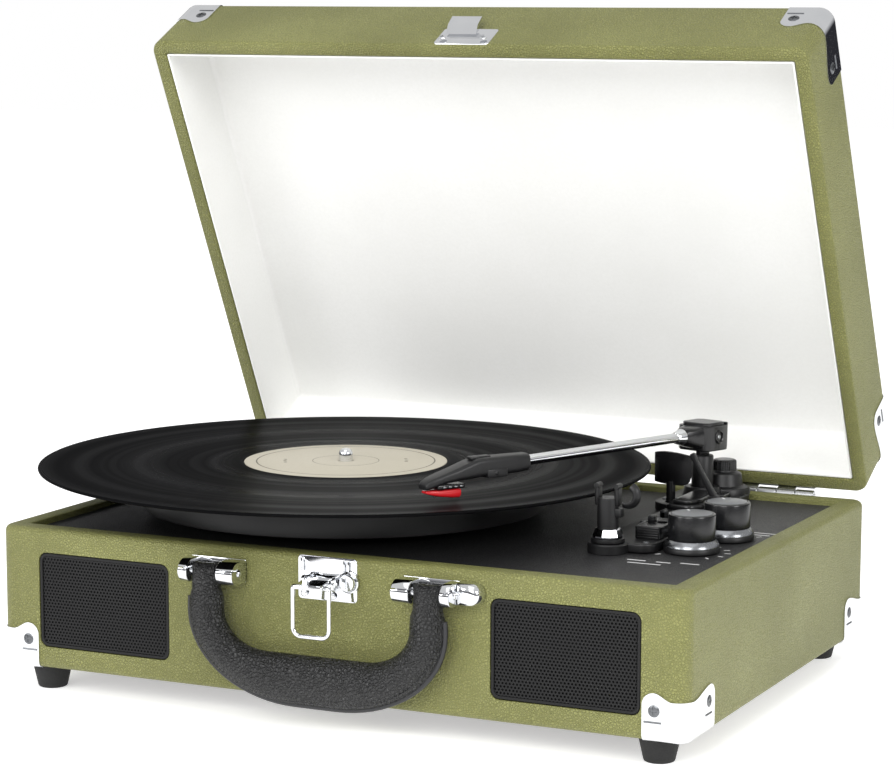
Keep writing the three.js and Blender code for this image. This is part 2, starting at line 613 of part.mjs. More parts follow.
function armBase() {
  const { bottom, top } = ARM_BASE;
  const lug = new THREE.Shape();
  lug.absarc(REST_POST.x, REST_POST.y, 9.5, 0, 2 * Math.PI);
  const plate = slab(armBaseOutline(), bottom, top).add(slab(lug, bottom + 0.1, top - 0.1, 8));
  const rim = slab(roundedRectangle(13, 25, 2), top - EPS, top + 6).translate(119, -20, 0);
  const turret = turned([[0, top - 0.8], [13, top - 0.8], [12.4, top + 3], [9.4, top + 4], [8.6, top + 9.6],
    [5.8, top + 11], [5.6, top + 16.6], [0, top + 17]]).translate(107, 104, 0);
  const collar = post(10, top - 0.6, top + 5, ARM.x, ARM.y, 8.6);
  const leverCheeks = [-1, 1].map((side) => {
    const y = CUE_LEVER.y + side * (CUE_LEVER.thick / 2 + GAP + 0.9);
    return block([CUE_LEVER.x - 3, y - 0.9, top - 0.7], [CUE_LEVER.x + 3, y + 0.9, CUE_LEVER.z + 2.6]);
  });
  const stemAngle = CUE.stemAngle * DEG;
  const stemX = ARM.x - CUE.radius * Math.sin(stemAngle);
  const stemY = ARM.y - CUE.radius * Math.cos(stemAngle);
  return cut(union([plate, rim, turret, collar, ...leverCheeks]), [
    post(6, bottom - EPS, top + 40, ARM.x, ARM.y),
    post(CUE.stem + 0.5, bottom - EPS, top + EPS, stemX, stemY),
    block([114, -23, top + 3.4], [124, -17, top + 6 + EPS]),
    block([104.6, 16, top - 2.6], [109.4, 40, top + EPS]),
    post(REST_POST.radius, top - 3, top + EPS, REST_POST.x, REST_POST.y),
  ]);
}

function autoStopSwitch() {
  const top = ARM_BASE.top;
  return union([
    block([114 + GAP, -23 + GAP, top + 3.4 + GAP], [119, -17 - GAP, top + 6]),
    block([115, -22, top + 5.8], [118.4, -18, top + 9]),
  ]);
}

function speedSelector() {
  const top = ARM_BASE.top;
  return union([
    block([104.6 + GAP, 16 + GAP, top - 2.6 + GAP], [109.4 - GAP, 24, top + 0.6]),
    block([105.4, 18.2, top + 0.5], [108.6, 22.2, top + 4]),
  ]);
}

function armRestPost() {
  const { radius, top, forkGap, prong } = REST_POST;
  const foot = ARM_BASE.top + GAP;
  const stem = turned([[0, foot - 2.6], [radius - GAP, foot - 2.6], [radius - GAP, foot], [8, foot],
    [8, foot + 2], [7.2, foot + 2.6], [5.8, foot + 6], [radius, foot + 6.4], [radius, top - 6.4],
    [0, top - 6.4]]);
  const prongs = [-1, 1].map((side) => {
    const x = side * (forkGap + prong) / 2;
    return block([x - prong / 2, -2.4, top - 9], [x + prong / 2, 2.4, top]);
  });
  const hingeLug = block([radius - 1.6, -2.4, top - 15.5], [radius + 2.4, 2.4, top - 11.2]);
  return union([stem, ...prongs, hingeLug]);
}

/** Locking clip of the rest: a small open hook on a hinge beside the post. */
function armRestClip() {
  const [inner, outer] = [4.2, 5.6];
  const hook = new THREE.Shape();
  hook.absarc(0, 0, outer, -115 * DEG, 68 * DEG);
  hook.absarc(0, 0, inner, 68 * DEG, -115 * DEG, true);
  return frontSlab(hook, -2.2, 2.2, 10);
}

function cueLifter() {
  const arc = new THREE.Shape();
  const [from, to] = [(-90 - CUE.to) * DEG, (-90 - CUE.from) * DEG];
  arc.absarc(0, 0, CUE.radius + CUE.wall / 2, from, to);
  arc.absarc(0, 0, CUE.radius - CUE.wall / 2, to, from, true);
  const wall = slab(arc, CUE.bottom, CUE.top, 12);
  const angle = (-90 - CUE.stemAngle) * DEG;
  const stem = post(CUE.stem, DECK_TOP + 4.6, CUE.bottom + 2, CUE.radius * Math.cos(angle),
    CUE.radius * Math.sin(angle), CUE.stem, 16);
  return union([wall, stem]);
}

/** Cue lever: upright bar about its hinge at the origin, turned along Y. */
function cueLever() {
  const half = CUE_LEVER.thick / 2;
  return union([
    block([-1.3, -half, 0], [1.3, half, CUE_LEVER.length]),
    rodY(2.4, -half, half, 0, 0),
    rodY(2, -half, half, 0, CUE_LEVER.length),
  ]);
}

// ---------- tonearm, pointing along -Y from its swing axis ----------
function armYoke() {
  const pivot = rodX(ARM.pivotPin, -7, 7, 0, ARM.pivotZ);
  return union([
    post(5.5, ARM_BASE.bottom + 0.4, 100.2, 0, 0),
    block([-ARM.web, -4, 99], [ARM.web, 4, ARM.pivotZ + 2.4]),
    pivot,
  ]);
}

function armHousing() {
  const { housingWidth: width, housingLength: length, pivotZ, pivotPin, web } = ARM;
  const { housingBottom: low, housingTop: high } = ARM;
  const body = easedBlock(width, length, low, high, 3.4, 1.8);
  const socket = rodY(6.2, -19, -length / 2 + 2, 0, ARM.tubeZ);
  return cut(union([body, socket]), [
    block([-web - GAP, -6.4, low - EPS], [web + GAP, 6.4, pivotZ + 3.4]),
    rodX(pivotPin + GAP, -7.4, 7.4, 0, pivotZ),
    rodY(ARM.tubeRadius + GAP, -length, -length / 2 + 3, 0, ARM.tubeZ),
  ]);
}

function armTube() {
  return rodY(ARM.tubeRadius, -ARM.tubeEnd, -ARM.tubeStart, 0, ARM.tubeZ);
}

/** Place a piece of the head, drawn level about the end of the tube, on the angled end of the arm. */
function onHead(solid) {
  return solid.rotate([ARM.lift, 0, -ARM.headAngle]).translate([0, -ARM.tubeEnd, ARM.tubeZ]);
}

function headshell() {
  const { tubeZ, tubeEnd, tubeRadius, headWidth } = ARM;
  const sleeve = rodY(4.2, -tubeEnd - 5, -tubeEnd + 5, 0, tubeZ);
  const profile = [[2, -4.2], [-18, -4.6], [-30, -5.6], [-46.6, -6.4], [-48, -8.6], [-51, -8.2],
    [-51.5, -5.6], [-48, -3.6], [-41, -1.6], [-30, 1.8], [-25, 3.6], [2, 3.4]];
  return cut(union([sleeve, onHead(sideSlab(profile, -headWidth / 2, headWidth / 2))]), [
    rodY(tubeRadius + GAP, -tubeEnd - GAP, -tubeEnd + 8, 0, tubeZ),
  ]);
}

function cartridge() {
  return onHead(block([-4.3, -46, -9], [4.3, -31, -6.8]));
}

/** Stylus: the red clip-on body with the needle at the bottom of its front. */
function stylus() {
  return onHead(sideSlab([[-33, -9.3], [-50.4, -9.3], [-50.6, -10.4], [-46.6, -11.6], [-44.9, -13.4],
    [-43.9, -12.1], [-35, -13.1], [-33, -12.8]], -3.4, 3.4));
}

// ---------- assembly ----------
const model = new THREE.Group();

addPart(model, "base_shell", baseShell(), LEATHERETTE);
addPart(model, "bottom_board", bottomBoard(), BARE_BOARD);
addPart(model, "deck_plate", deckPlate(), DECK_VINYL);
for (const [name, sx, sy] of CORNERS) {
  addPart(model, `foot_${name}`, foot(), RUBBER)
    .position.set(sx * FOOT.x, sy * FOOT.y, UNDERSIDE - FOOT.height);
  addPart(model, `base_guard_${name}`, cornerGuard(sx, sy, UNDERSIDE, BASE_TOP, false), CHROME);
}
for (const [name, side] of SIDES) {
  addPart(model, `grille_${name}`, grille(), BLACK_PLASTIC).position.set(side * GRILLE.x, 0, GRILLE.z);
  addPart(model, `speaker_${name}`, speaker(), BLACK_PLASTIC).position.set(side * GRILLE.x, 0, GRILLE.z);
  addPart(model, `handle_bracket_${name}`, handleBracket(side), CHROME);
  addPart(model, `hinge_base_leaf_${name}`, hingeLeaf(-1), STEEL).position.x = side * HINGE.x;
}
addPart(model, "carry_handle", handle(), BLACK_LEATHER);
addPart(model, "latch_plate", latchPlate(), CHROME);
addPart(model, "latch_lever", latchLever(), CHROME);
addPart(model, "latch_bail", latchBail(), CHROME);
addPart(model, "lock_cylinder", lockCylinder(), CHROME);
addPart(model, "jack_panel", jackPanel(), BLACK_PLASTIC);
addPart(model, "control_board", controlBoard(), BOARD_GREEN);

const drive = new THREE.Group();
drive.position.set(PLATTER.x, PLATTER.y, 0);
addPart(drive, "platter", platter(), BLACK_PLASTIC);
addPart(drive, "platter_mat", platterMat(), RUBBER);
addPart(drive, "record_disc", record(), VINYL);
addPart(drive, "record_label", recordLabel(), LABEL_PAPER);
addPart(drive, "spindle", spindle(), CHROME);
addPart(drive, "platter_bearing", platterBearing(), STEEL);
addPart(drive, "drive_belt", driveBelt(), RUBBER);
model.add(drive);
const motorAt = motorPlace();
addPart(model, "motor", motor(), STEEL).position.set(motorAt.x, motorAt.y, 0);
addPart(model, "motor_pulley", motorPulley(), STEEL).position.set(motorAt.x, motorAt.y, 0);

for (const { name, x, y } of KNOBS) {
  addPart(model, name, knob(), BLACK_PLASTIC).position.set(x, y, 0);
}

addPart(model, "arm_base", armBase(), BLACK_PLASTIC);
addPart(model, "auto_stop_switch", autoStopSwitch(), BLACK_PLASTIC);
addPart(model, "speed_selector", speedSelector(), BLACK_PLASTIC);
addPart(model, "arm_rest_post", armRestPost(), BLACK_PLASTIC).position.set(REST_POST.x, REST_POST.y, 0);
addPart(model, "arm_rest_clip", armRestClip(), BLACK_PLASTIC)
  .position.set(REST_POST.x + 9.2, REST_POST.y, REST_POST.top - 5);
addPart(model, "cue_lifter", cueLifter(), BLACK_PLASTIC).position.set(ARM.x, ARM.y, 0);
const lever = addPart(model, "cue_lever", cueLever(), BLACK_PLASTIC);
lever.position.set(CUE_LEVER.x, CUE_LEVER.y, CUE_LEVER.z);
lever.rotation.y = -CUE_LEVER.lean * DEG;

const tonearm = new THREE.Group();
tonearm.position.set(ARM.x, ARM.y, 0);
tonearm.rotation.z = -ARM.angle * DEG;
addPart(tonearm, "arm_yoke", armYoke(), BLACK_PLASTIC);
const lifted = new THREE.Group();
lifted.position.z = ARM.pivotZ;
lifted.rotation.x = -ARM.lift * DEG;
const level = new THREE.Group();
level.position.z = -ARM.pivotZ;
addPart(level, "arm_housing", armHousing(), BLACK_PLASTIC);
addPart(level, "arm_tube", armTube(), CHROME);
addPart(level, "headshell", headshell(), BLACK_PLASTIC);
addPart(level, "cartridge", cartridge(), BLACK_PLASTIC);
addPart(level, "stylus", stylus(), RED_PLASTIC);
lifted.add(level);
tonearm.add(lifted);
model.add(tonearm);

const lid = new THREE.Group();
lid.position.set(0, HINGE.y, HINGE.z);
lid.rotation.x = -LID.openAngle * DEG;
const closedLid = new THREE.Group();
closedLid.position.set(0, -HINGE.y, -HINGE.z);
addPart(closedLid, "lid_shell", lidShell(), LEATHERETTE);
addPart(closedLid, "lid_lining", lidLining(), WHITE_PAPER);
addPart(closedLid, "lid_catch", lidCatch(), CHROME);
for (const [name, sx, sy] of CORNERS) {
  addPart(closedLid, `lid_guard_${name}`, cornerGuard(sx, sy, LID_BOTTOM, LID_TOP, true), CHROME);
}
for (const [name, side] of SIDES) {
  addPart(closedLid, `hinge_lid_leaf_${name}`, hingeLeaf(1), STEEL).position.x = side * HINGE.x;
}
lid.add(closedLid);
model.add(lid);

// Set the origin under the middle of the whole object.
const player = new THREE.Group();
player.add(model);
player.updateMatrixWorld(true);
const extent = new THREE.Box3().setFromObject(player);
model.position.set(-(extent.min.x + extent.max.x) / 2, -(extent.min.y + extent.max.y) / 2, -extent.min.z);

export default player;
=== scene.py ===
import logging
import math
from dataclasses import dataclass, field
from enum import Enum

import bmesh
import bpy
from mathutils import Matrix, Vector


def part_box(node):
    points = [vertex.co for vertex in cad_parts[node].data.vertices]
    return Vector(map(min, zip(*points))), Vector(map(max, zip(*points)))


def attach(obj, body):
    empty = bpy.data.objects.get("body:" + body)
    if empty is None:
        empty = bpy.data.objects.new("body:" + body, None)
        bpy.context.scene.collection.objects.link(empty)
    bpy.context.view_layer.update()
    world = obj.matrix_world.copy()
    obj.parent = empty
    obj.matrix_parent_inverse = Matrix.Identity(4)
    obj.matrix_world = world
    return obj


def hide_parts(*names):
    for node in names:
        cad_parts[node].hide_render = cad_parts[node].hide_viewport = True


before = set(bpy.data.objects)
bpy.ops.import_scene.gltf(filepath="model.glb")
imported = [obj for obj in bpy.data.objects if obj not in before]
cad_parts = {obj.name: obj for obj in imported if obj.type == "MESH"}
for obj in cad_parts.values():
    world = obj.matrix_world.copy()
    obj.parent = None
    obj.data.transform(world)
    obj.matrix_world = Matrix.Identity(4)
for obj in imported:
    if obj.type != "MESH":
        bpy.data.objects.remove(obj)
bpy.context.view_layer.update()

MM = 0.001
LOG = logging.getLogger("record_player")

# The case stands square in the frame, so its shell gives the place that every size here is drawn from:
# x and y from the middle of the case, z from the floor, in millimetres.
_LOW, _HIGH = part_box("base_shell")
CASE_X = (_LOW[0] + _HIGH[0]) / 2
CASE_Y = (_LOW[1] + _HIGH[1]) / 2
TO_FRAME = Matrix.Translation((CASE_X, CASE_Y, 0)) @ Matrix.Scale(MM, 4)

Point = tuple[float, float, float]
Corners = list[tuple[float, float]]


# ---------- geometry ----------
@dataclass
class Shape:
    """A closed surface in millimetres: its vertices and its faces."""

    verts: list[Vector] = field(default_factory=list)
    faces: list[tuple[int, ...]] = field(default_factory=list)

    def moved(self, matrix: Matrix) -> "Shape":
        """Return a copy with every vertex moved by the matrix."""
        return Shape([matrix @ v for v in self.verts], list(self.faces))

    def at(self, x: float, y: float, z: float) -> "Shape":
        """Return a copy shifted by x, y and z."""
        return self.moved(Matrix.Translation((x, y, z)))

    def turned(self, degrees: float, axis: str) -> "Shape":
        """Return a copy turned about an axis through the origin."""
        return self.moved(Matrix.Rotation(math.radians(degrees), 4, axis))

    def __add__(self, other: "Shape") -> "Shape":
        """Put another shape beside this one.

        Args:
            other: The shape to add.

        Returns:
            Both as one shape.
        """
        start = len(self.verts)
        shifted = [tuple(i + start for i in face) for face in other.faces]
        return Shape(self.verts + other.verts, self.faces + shifted)


def joined(shapes: list[Shape]) -> Shape:
    """Join a list of shapes.

    Args:
        shapes: The shapes, which may overlap.

    Returns:
        All of them as one shape.
    """
    whole = Shape()
    for shape in shapes:
        whole = whole + shape
    return whole


def loft(rings: list[list[Point]], closed: bool = False) -> Shape:
    """Skin a row of rings that all have the same number of points.

    Args:
        rings: The rings, each a list of points.
        closed: Whether the last ring joins back to the first; otherwise both ends are capped.

    Returns:
        The closed surface.
    """
    count = len(rings[0])
    shape = Shape([Vector(p) for ring in rings for p in ring])
    spans = len(rings) if closed else len(rings) - 1
    for i in range(spans):
        low, high = i * count, (i + 1) % len(rings) * count
        for j in range(count):
            k = (j + 1) % count
            shape.faces.append((low + j, low + k, high + k, high + j))
    if not closed:
        shape.faces.append(tuple(reversed(range(count))))
        shape.faces.append(tuple(range((len(rings) - 1) * count, len(rings) * count)))
    return shape


def circle(radius: float, sides: int, z: float = 0) -> list[Point]:
    """Return the points of a level circle."""
    return [(radius * math.cos(2 * math.pi * i / sides), radius * math.sin(2 * math.pi * i / sides), z)
            for i in range(sides)]


def lathe(profile: Corners, sides: int = 64, closed: bool = False) -> Shape:
    """Turn a profile of radius and height about Z; a solid profile runs from bottom to top.

    Args:
        profile: Radius and height pairs; a radius of nothing is drawn as a very small one.
        sides: Number of steps round the axis.
        closed: Whether the profile joins back on itself round a bore.

    Returns:
        The turned surface.
    """
    return loft([circle(max(r, 0.02), sides, z) for r, z in profile], closed)


def rounded(width: float, depth: float, radius: float, steps: int = 8) -> Corners:
    """Draw the outline of a rectangle with round corners, about the origin.

    Args:
        width: Size along X.
        depth: Size along Y.
        radius: Radius of the corners.
        steps: Steps round each corner.

    Returns:
        The outline, anticlockwise.
    """
    radius = max(radius, 0.05)
    outline = []
    for k, (sx, sy) in enumerate(((1, 1), (-1, 1), (-1, -1), (1, -1))):
        for i in range(steps + 1):
            a = math.pi / 2 * (k + i / steps)
            outline.append((sx * (width / 2 - radius) + radius * math.cos(a),
                            sy * (depth / 2 - radius) + radius * math.sin(a)))
    return outline


def slab(outline: Corners, low: float, high: float, edge: float = 0, steps: int = 3) -> Shape:
    """Raise an outline from low to high with eased edges top and bottom.

    Args:
        outline: Convex corners, anticlockwise.
        low: Height of the underside.
        high: Height of the top.
        edge: Radius of the eased edges.
        steps: Steps in each eased edge.

    Returns:
        The closed surface.
    """
    if edge <= 0:
        return loft([[(x, y, z) for x, y in outline] for z in (low, high)])
    profile = [(edge * (1 - math.sin(a)), low + edge * (1 - math.cos(a)))
               for a in (math.pi / 2 * i / steps for i in range(steps + 1))]
    profile += [(inset, high - (z - low)) for inset, z in reversed(profile)]
    return loft([[(x, y, z) for x, y in inset_outline(outline, inset)] for inset, z in profile])


def inset_outline(outline: Corners, amount: float) -> Corners:
    """Move an outline inwards along the mean normals of its corners.

    Args:
        outline: Corners, anticlockwise.
        amount: Distance to move; a negative one moves outwards.

    Returns:
        The moved outline.
    """
    count = len(outline)
    moved = []
    for i, (x, y) in enumerate(outline):
        ax, ay = outline[i - 1]
        bx, by = outline[(i + 1) % count]
        first = Vector((x - ax, y - ay))
        second = Vector((bx - x, by - y))
        first = first.normalized() if first.length > 1e-6 else second.normalized()
        second = second.normalized() if second.length > 1e-6 else first
        normal = Vector((-(first.y + second.y), first.x + second.x))
        scale = amount / max(normal.length / 2, 0.5)
        normal = normal.normalized() * scale
        moved.append((x + normal.x, y + normal.y))
    return moved


def standing(shape: Shape) -> Shape:
    """Stand a shape drawn in XY upright in XZ, its height turned to face the front."""
    return shape.turned(90, "X")


def bar(x: tuple[float, float], y: tuple[float, float], z: tuple[float, float], edge: float = 0.4) -> Shape:
    """Draw a block with eased edges.

    Args:
        x: Limits along X.
        y: Limits along Y.
        z: Limits along Z.
        edge: Radius of the eased edges, kept under a third of each size.

    Returns:
        The block.
    """
    width, depth = x[1] - x[0], y[1] - y[0]
    edge = min(edge, width / 3, depth / 3, (z[1] - z[0]) / 3)
    return slab(rounded(width, depth, edge * 1.5, 3), z[0], z[1], edge, 2).at(sum(x) / 2, sum(y) / 2, 0)


def tube(path: list[Point], radius: float | list[float], sides: int = 16, flat: float = 1.0) -> Shape:
    """Sweep a round section along a path.

    Args:
        path: Points along the middle.
        radius: One radius, or one for each point.
        sides: Points round the section.
        flat: Thickness of the section across its second direction, as a share of the radius.

    Returns:
        The capped surface.
    """
    points = [Vector(p) for p in path]
    radii = radius if isinstance(radius, list) else [radius] * len(points)
    forward = (points[1] - points[0]).normalized()
    side = forward.orthogonal().normalized()
    rings = []
    for i, point in enumerate(points):
        ahead = (points[min(i + 1, len(points) - 1)] - points[max(i - 1, 0)]).normalized()
        side = (side - ahead * side.dot(ahead)).normalized()
        up = ahead.cross(side)
        rings.append([tuple(point + radii[i] * (side * math.cos(a) + up * flat * math.sin(a)))
                      for a in (2 * math.pi * k / sides for k in range(sides))])
    return loft(rings)


def rod(start: Point, end: Point, radius: float, far: float | None = None, sides: int = 32) -> Shape:
    """Draw a straight round bar with lightly eased ends.

    Args:
        start: Middle of one end.
        end: Middle of the other end.
        radius: Radius at the start.
        far: Radius at the end, if it tapers.
        sides: Points round the bar.

    Returns:
        The bar.
    """
    a, b = Vector(start), Vector(end)
    far = radius if far is None else far
    along = (b - a).normalized()
    ease = min(0.3, radius / 3)
    stops = [(a, radius - ease), (a + along * ease, radius), (b - along * ease, far), (b, far - ease)]
    turn = Vector((0, 0, 1)).rotation_difference(along).to_matrix()
    return loft([[tuple(p + turn @ Vector(q)) for q in circle(r, sides)] for p, r in stops])


def cross_head(radius: float, height: float) -> Shape:
    """Draw a domed screw head with a cross recess, its face towards +Z.

    Args:
        radius: Radius of the head.
        height: Height of the dome, whose middle stands a twentieth higher.

    Returns:
        The head, seated at z = 0.
    """
    dome = lathe([(radius, 0), (radius, height * 0.3), (radius * 0.85, height * 0.75),
                  (radius * 0.5, height), (0, height * 1.05)], 24)
    arm = radius * 0.62
    slot = bar((-arm, arm), (-radius * 0.13, radius * 0.13), (height * 0.45, height * 2), 0)
    return carved(dome, [slot, slot.turned(90, "Z")])


def arc_points(middle: tuple[float, float], radius: float, start: float, end: float, steps: int) -> Corners:
    """Return points along an arc, with its angles in degrees."""
    return [(middle[0] + radius * math.cos(math.radians(start + (end - start) * i / steps)),
             middle[1] + radius * math.sin(math.radians(start + (end - start) * i / steps)))
            for i in range(steps + 1)]


def to_mesh(name: str, shape: Shape) -> bpy.types.Mesh:
    """Make a mesh of a shape, in the shape's own units, with its faces pointing out.

    Args:
        name: The mesh's name.
        shape: The surface to make it of.

    Returns:
        The mesh.
    """
    mesh = bpy.data.meshes.new(name)
    mesh.from_pydata([tuple(v) for v in shape.verts], [], shape.faces)
    work = bmesh.new()
    work.from_mesh(mesh)
    bmesh.ops.remove_doubles(work, verts=work.verts, dist=1e-5)
    bmesh.ops.recalc_face_normals(work, faces=work.faces)
    work.to_mesh(mesh)
    work.free()
    return mesh


def carved(shape: Shape, tools: list[Shape], join: bool = False) -> Shape:
    """Cut tools out of a shape, or join them to it.

    Args:
        shape: The shape to work on.
        tools: The shapes to cut away or join.
        join: Whether to join rather than cut.

    Returns:
        The result.
    """
    link = bpy.context.scene.collection.objects.link
    body = bpy.data.objects.new("carved", to_mesh("carved", shape))
    link(body)
    cutters = []
    for tool in tools:
        cutter = bpy.data.objects.new("cutter", to_mesh("cutter", tool))
        link(cutter)
        cutters.append(cutter)
        step = body.modifiers.new("cut", "BOOLEAN")
        step.operation = "UNION" if join else "DIFFERENCE"
        step.solver = "EXACT"
        step.object = cutter
    bpy.context.view_layer.update()
    result = body.evaluated_get(bpy.context.evaluated_depsgraph_get()).to_mesh()
    done = Shape([v.co.copy() for v in result.vertices], [tuple(p.vertices) for p in result.polygons])
    for spare in [body, *cutters]:
        bpy.data.objects.remove(spare)
    return done


# ---------- finishes ----------
def linear(code: str) -> tuple[float, float, float, float]:
    """Turn an sRGB hex colour into linear red, green, blue and alpha."""
    parts = [int(code[i:i + 2], 16) / 255 for i in (1, 3, 5)]
    return tuple(c / 12.92 if c <= 0.04045 else ((c + 0.055) / 1.055) ** 2.4 for c in parts) + (1.0,)


def add(tree: bpy.types.NodeTree, kind: str, inputs: dict | None = None,
        **settings: object) -> bpy.types.Node:
    """Add a node with its settings, and set or link its inputs.

    Args:
        tree: The node tree.
        kind: The node's type.
        inputs: Input names or numbers, each with a value or the socket that feeds it.
        settings: The node's own settings.

    Returns:
        The new node.
    """
    node = tree.nodes.new(kind)
    for name, value in settings.items():
        setattr(node, name, value)
    for name, value in (inputs or {}).items():
        if isinstance(value, bpy.types.NodeSocket):
            tree.links.new(value, node.inputs[name])
        else:
            node.inputs[name].default_value = value
    return node


class Grain(Enum):
    """How a surface was made, and so what relief it has."""

    EMBOSSED = "leather grain rolled into the cloth"
    MOULDED = "fine texture of a spark-eroded mould"
    POLISHED = "polished, with faint smears"
    BRUSHED = "brushed in one direction"
    PAPER = "felted fibres"


@dataclass(frozen=True)
class Finish:
    """One material of the player: its colour, its gloss, the relief that its making left, and a darker colour
    painted into the relief's low parts as shade, mixed with random tone.
    """

    name: str
    slot: str
    colour: str
    shade: str
    roughness: float
    grain: Grain
    grain_mm: float
    depth_mm: float
    metallic: float = 0.0
    ior: float = 1.5
    coat: float = 0.0
    specular: float = 0.5

    def made(self) -> bpy.types.Material:
        """Return the material, making it the first time."""
        known = bpy.data.materials.get(self.name)
        return known if known else self.build()

    def build(self) -> bpy.types.Material:
        """Build the material's nodes: relief from the grain, and colour and gloss that vary with it; the
        colour is darker in the relief's low parts, as painted shade.

        Returns:
            The material.
        """
        material = bpy.data.materials.new(self.name)
        material.use_nodes = True
        tree = material.node_tree
        shader = tree.nodes["Principled BSDF"]
        for socket, value in (("Metallic", self.metallic), ("Coat Weight", self.coat),
                              ("Specular IOR Level", self.specular)):
            shader.inputs[socket].default_value = value
        if self.metallic == 0:
            shader.inputs["IOR"].default_value = self.ior
        place = add(tree, "ShaderNodeTexCoord").outputs["Object"]
        height, valley_shade_mask = self.relief(tree, place)
        drift = add(tree, "ShaderNodeTexNoise", {"Vector": place, "Scale": 14.0, "Detail": 3.0})
        # Painted shade: the low parts of the relief take the darker shade colour, broken up by random tone
        # from the drift noise.
        both = add(tree, "ShaderNodeMath", {0: valley_shade_mask, 1: drift.outputs["Fac"]}, operation="MULTIPLY")
        colour = add(tree, "ShaderNodeMix",
                     {0: both.outputs[0], 6: linear(self.shade), 7: linear(self.colour)}, data_type="RGBA")
        gloss = add(tree, "ShaderNodeMapRange", {0: both.outputs[0], 3: min(self.roughness * 1.25, 1.0),
                                                 4: self.roughness * 0.85})
        bump = add(tree, "ShaderNodeBump",
                   {"Strength": 0.8, "Distance": self.depth_mm * MM, "Height": height})
        tree.links.new(colour.outputs[2], shader.inputs["Base Color"])
        tree.links.new(gloss.outputs[0], shader.inputs["Roughness"])
        tree.links.new(bump.outputs[0], shader.inputs["Normal"])
        return material

    def relief(self, tree: bpy.types.NodeTree, place: bpy.types.NodeSocket) -> tuple:
        """Add the nodes of the grain.

        Args:
            tree: The material's nodes.
            place: The surface's own coordinates, in metres.

        Returns:
            The height socket and a shading socket that is one on the high parts; the low parts take the
            painted shade colour.
        """
        scale = 1 / (self.grain_mm * MM)
        if self.grain is Grain.EMBOSSED:
            bend = add(tree, "ShaderNodeTexNoise", {"Vector": place, "Scale": scale * 0.6, "Detail": 2.0})
            warp = add(tree, "ShaderNodeVectorMath",
                       {0: bend.outputs["Color"], 1: (self.grain_mm * MM * 0.9,) * 3}, operation="MULTIPLY")
            bent = add(tree, "ShaderNodeVectorMath", {0: place, 1: warp.outputs[0]}, operation="ADD")
            cells = add(tree, "ShaderNodeTexVoronoi", {"Vector": bent.outputs[0], "Scale": scale},
                        feature="DISTANCE_TO_EDGE")
            pebble = add(tree, "ShaderNodeMapRange", {0: cells.outputs[0], 2: 0.22},
                         interpolation_type="SMOOTHSTEP")
            fine = add(tree, "ShaderNodeTexNoise", {"Vector": place, "Scale": scale * 2.5, "Detail": 2.0})
            height = add(tree, "ShaderNodeMath", {0: fine.outputs["Fac"], 1: 0.5, 2: pebble.outputs[0]},
                         operation="MULTIPLY_ADD")
            # Painted shade: the valleys between the grain's pebbles take the darker colour.
            valley_shade_mask = add(tree, "ShaderNodeMapRange", {0: pebble.outputs[0], 3: 0.6, 4: 1.45})
            return height.outputs[0], valley_shade_mask.outputs[0]
        stretch = (1.0, 1.0, 1.0)
        if self.grain is Grain.BRUSHED:
            stretch = (0.04, 1.0, 1.0)
        spread = add(tree, "ShaderNodeMapping", {"Vector": place, "Scale": stretch})
        detail = 1.0 if self.grain is Grain.POLISHED else 4.0
        noise = add(tree, "ShaderNodeTexNoise",
                    {"Vector": spread.outputs[0], "Scale": scale, "Detail": detail})
        valley_shade_mask = add(tree, "ShaderNodeMapRange", {0: noise.outputs["Fac"], 1: 0.3, 2: 0.7, 3: 1.0, 4: 1.5})
        return noise.outputs["Fac"], valley_shade_mask.outputs[0]


# PVC-coated leathercloth: a matt olive skin whose rolled grain catches small soft lights, with painted shade
# darkening the grain's valleys.
# The real grain is about 0.7 mm across and is drawn at 1.2 mm so that it shows.
LEATHERCLOTH = Finish("olive leathercloth, rolled grain", "case_leatherette", "#8b8c52", "#656636", 0.44,
                      Grain.EMBOSSED, 1.2, 0.5, specular=0.5)
# Lining paper: near-white, flat, with the faintest felt.
LINING = Finish("white lining paper, calendered", "lining_paper", "#f4f4f2", "#e9e9e6", 0.62,
                Grain.PAPER, 1.6, 0.02)
# Black vinyl of the deck: shallow grain under a soft shine, its valleys darkened with painted shade. The
# grain is drawn at 1.2 mm to show.
DECK_VINYL = Finish("black deck vinyl, rolled grain", "deck_vinyl", "#2c2c2d", "#1b1b1b", 0.44,
                    Grain.EMBOSSED, 1.2, 0.2, specular=0.4)
# Leathercloth of the grip: deeper grain, dark grey lights on black, with its valleys painted near-black as
# shade. The grain is drawn at 1.6 mm to show.
GRIP = Finish("black leathercloth grip, pressed grain", "handle_leather", "#151516", "#040405", 0.3,
              Grain.EMBOSSED, 1.6, 0.95, specular=0.55)
# Welt of the grip: extruded vinyl, a thin line slightly lighter than the leathercloth.
GRIP_WELT = Finish("black welt, extruded vinyl", "handle_leather", "#232326", "#151517", 0.38,
                   Grain.MOULDED, 0.9, 0.02)
# ABS with a spark-eroded texture: satin black. The real texture is about 0.1 mm and is drawn at 0.5 mm.
SATIN_ABS = Finish("black abs, spark-eroded mould", "black_plastic", "#171718", "#101011", 0.4,
                   Grain.MOULDED, 0.5, 0.02, specular=0.4)
# ABS from a polished mould: near-black with soft clear highlights.
GLOSS_ABS = Finish("black abs, polished mould", "black_plastic", "#141415", "#0d0d0e", 0.24,
                   Grain.POLISHED, 9.0, 0.01)
# Sides of the knobs, the slides and the turret's cap: near-black ABS with a broad soft highlight.
GREY_ABS = Finish("dark grey abs, satin mould", "black_plastic", "#18191a", "#101012", 0.24,
                  Grain.MOULDED, 0.5, 0.015)
